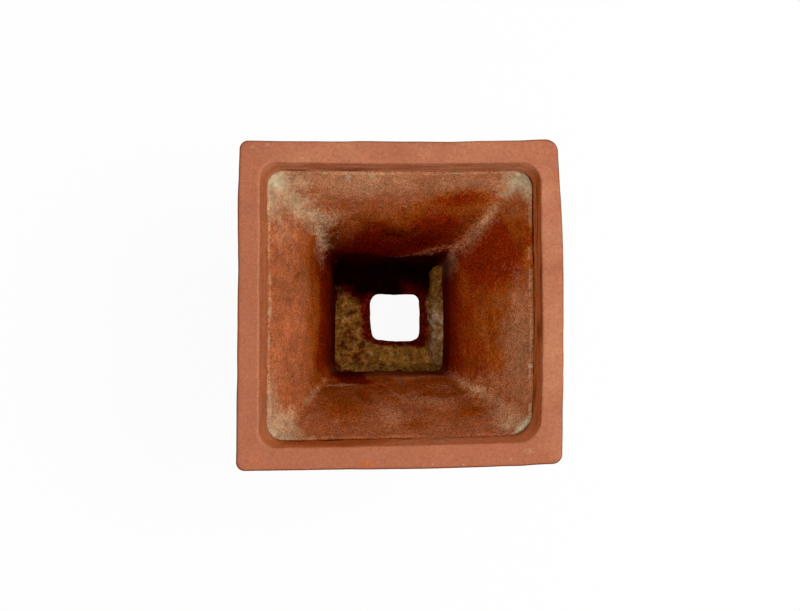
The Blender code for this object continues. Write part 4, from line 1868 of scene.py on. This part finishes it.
@dataclass(frozen=True)
class Studio:
    """A pale floor, soft lamps above and to the right, an even sky, and a camera above the mouth."""

    shape: PotShape
    camera_from: tuple[float, float, float] = (-8.5 * MM, -14.5 * MM, 220.0 * MM)
    camera_to: tuple[float, float, float] = (0.0, -0.65 * MM, 0.0)
    lens: float = 50.3
    clip: tuple[float, float] = (1.0 * MM, 20.0)
    lamps: tuple[SoftLamp, ...] = (
        SoftLamp("top_lamp", (-0.035, -0.045, 0.60), 0.12, 1.02),
        SoftLamp("right_lamp", (0.24, 0.03, 0.44), 0.24, 0.82),
    )
    sky: float = 0.34
    floor_half: float = 3.0
    floor_colour: str = "#F2F2F2"
    floor_roughness: float = 0.9
    floor_white: float = 1.02
    shadow_share: float = 0.10

    def aimed(self, made: bpy.types.Object, at: Vector) -> None:
        """Turns a lamp or camera to face a point, with +Y up in its picture.

        Args:
            made: The lamp or camera.
            at: The point.
        """
        toward = (made.location - at).normalized()
        right = Vector((0.0, 1.0, 0.0)).cross(toward).normalized()
        axes = Matrix((right, toward.cross(right), toward)).transposed()
        made.rotation_euler = axes.to_euler()

    def add_camera(self) -> None:
        """A camera high above the mouth, a little to the front left, aimed near its middle."""
        rim = Vector((0.0, 0.0, self.shape.rim_top))
        data = bpy.data.cameras.new("camera")
        data.lens = self.lens
        data.clip_start, data.clip_end = self.clip
        made = bpy.data.objects.new("camera", data)
        bpy.context.scene.collection.objects.link(made)
        made.location = rim + Vector(self.camera_from)
        self.aimed(made, rim + Vector(self.camera_to))
        bpy.context.scene.camera = made

    def add_lamp(self, lamp: SoftLamp) -> None:
        """Hangs one lamp and turns it to the rim.

        Args:
            lamp: Its name, place, size and power.
        """
        data = bpy.data.lights.new(lamp.name, "AREA")
        data.size = lamp.size
        data.energy = lamp.power
        made = bpy.data.objects.new(lamp.name, data)
        bpy.context.scene.collection.objects.link(made)
        made.location = Vector(lamp.place)
        self.aimed(made, Vector((0.0, 0.0, self.shape.rim_top)))

    def seen(self, tree: bpy.types.NodeTree) -> bpy.types.NodeSocket:
        """1 for a ray that shows the background: from the camera, or through gloss or glass.

        Args:
            tree: The node tree that asks.

        Returns:
            The socket that gives it.
        """
        path = add_node(tree, "ShaderNodeLightPath").outputs
        pair = {0: path["Is Camera Ray"], 1: path["Is Glossy Ray"]}
        first = add_node(tree, "ShaderNodeMath", {"operation": "MAXIMUM"}, pair).outputs["Value"]
        both = {0: first, 1: path["Is Transmission Ray"]}
        return add_node(tree, "ShaderNodeMath", {"operation": "MAXIMUM"}, both).outputs["Value"]

    def add_sky(self) -> None:
        """An even sky that looks white where it is seen."""
        world = bpy.data.worlds.new("sky")
        world.use_nodes = True
        tree = world.node_tree
        level = {"Value": self.seen(tree), "To Min": self.sky, "To Max": 1.0}
        strength = add_node(tree, "ShaderNodeMapRange", None, level).outputs["Result"]
        back = tree.nodes["Background"]
        back.inputs["Color"].default_value = (1.0, 1.0, 1.0, 1.0)
        tree.links.new(strength, back.inputs["Strength"])
        bpy.context.scene.world = world

    def add_floor(self) -> None:
        """A wide pale floor that looks white where it is lit and keeps a faint shadow."""
        material = bpy.data.materials.new("pale_floor")
        material.use_nodes = True
        tree = material.node_tree
        shader = tree.nodes["Principled BSDF"]
        shader.inputs["Base Color"].default_value = linear(self.floor_colour)
        shader.inputs["Roughness"].default_value = self.floor_roughness
        shader.inputs["Specular IOR Level"].default_value = 0.0
        white = add_node(tree, "ShaderNodeEmission", None, {"Strength": self.floor_white}).outputs["Emission"]
        share = {0: self.seen(tree), 1: 1.0 - self.shadow_share}
        fade = add_node(tree, "ShaderNodeMath", {"operation": "MULTIPLY"}, share).outputs["Value"]
        mixed = add_node(tree, "ShaderNodeMixShader", None, {0: fade, 1: shader.outputs["BSDF"], 2: white})
        tree.links.new(mixed.outputs["Shader"], tree.nodes["Material Output"].inputs["Surface"])
        half = self.floor_half
        corners = np.array([(-half, -half, 0), (half, -half, 0), (half, half, 0), (-half, half, 0)])
        mesh = bpy.data.meshes.new("pale_floor")
        mesh.from_pydata(corners, [], [(0, 1, 2, 3)])
        mesh.materials.append(material)
        made = bpy.data.objects.new("pale_floor", mesh)
        bpy.context.scene.collection.objects.link(made)

    def build(self) -> None:
        """Sets up the floor, the light and the camera."""
        self.add_floor()
        for lamp in self.lamps:
            self.add_lamp(lamp)
        self.add_sky()
        self.add_camera()
        bpy.context.scene.view_settings.view_transform = "Standard"


def main() -> None:
    """Builds the pot from the ground up inside its studio."""
    logging.basicConfig(level=logging.INFO, format="%(name)s %(message)s")
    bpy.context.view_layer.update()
    shape = PotShape.from_frame()
    inside = Inside(shape)
    warp = HandWarp(shape)
    Studio(shape).build()
    for part in (Feet, Floor, Walls, SeamCoils, RimFrame):
        part(inside, warp).build()


if __name__ == "__main__":
    main()
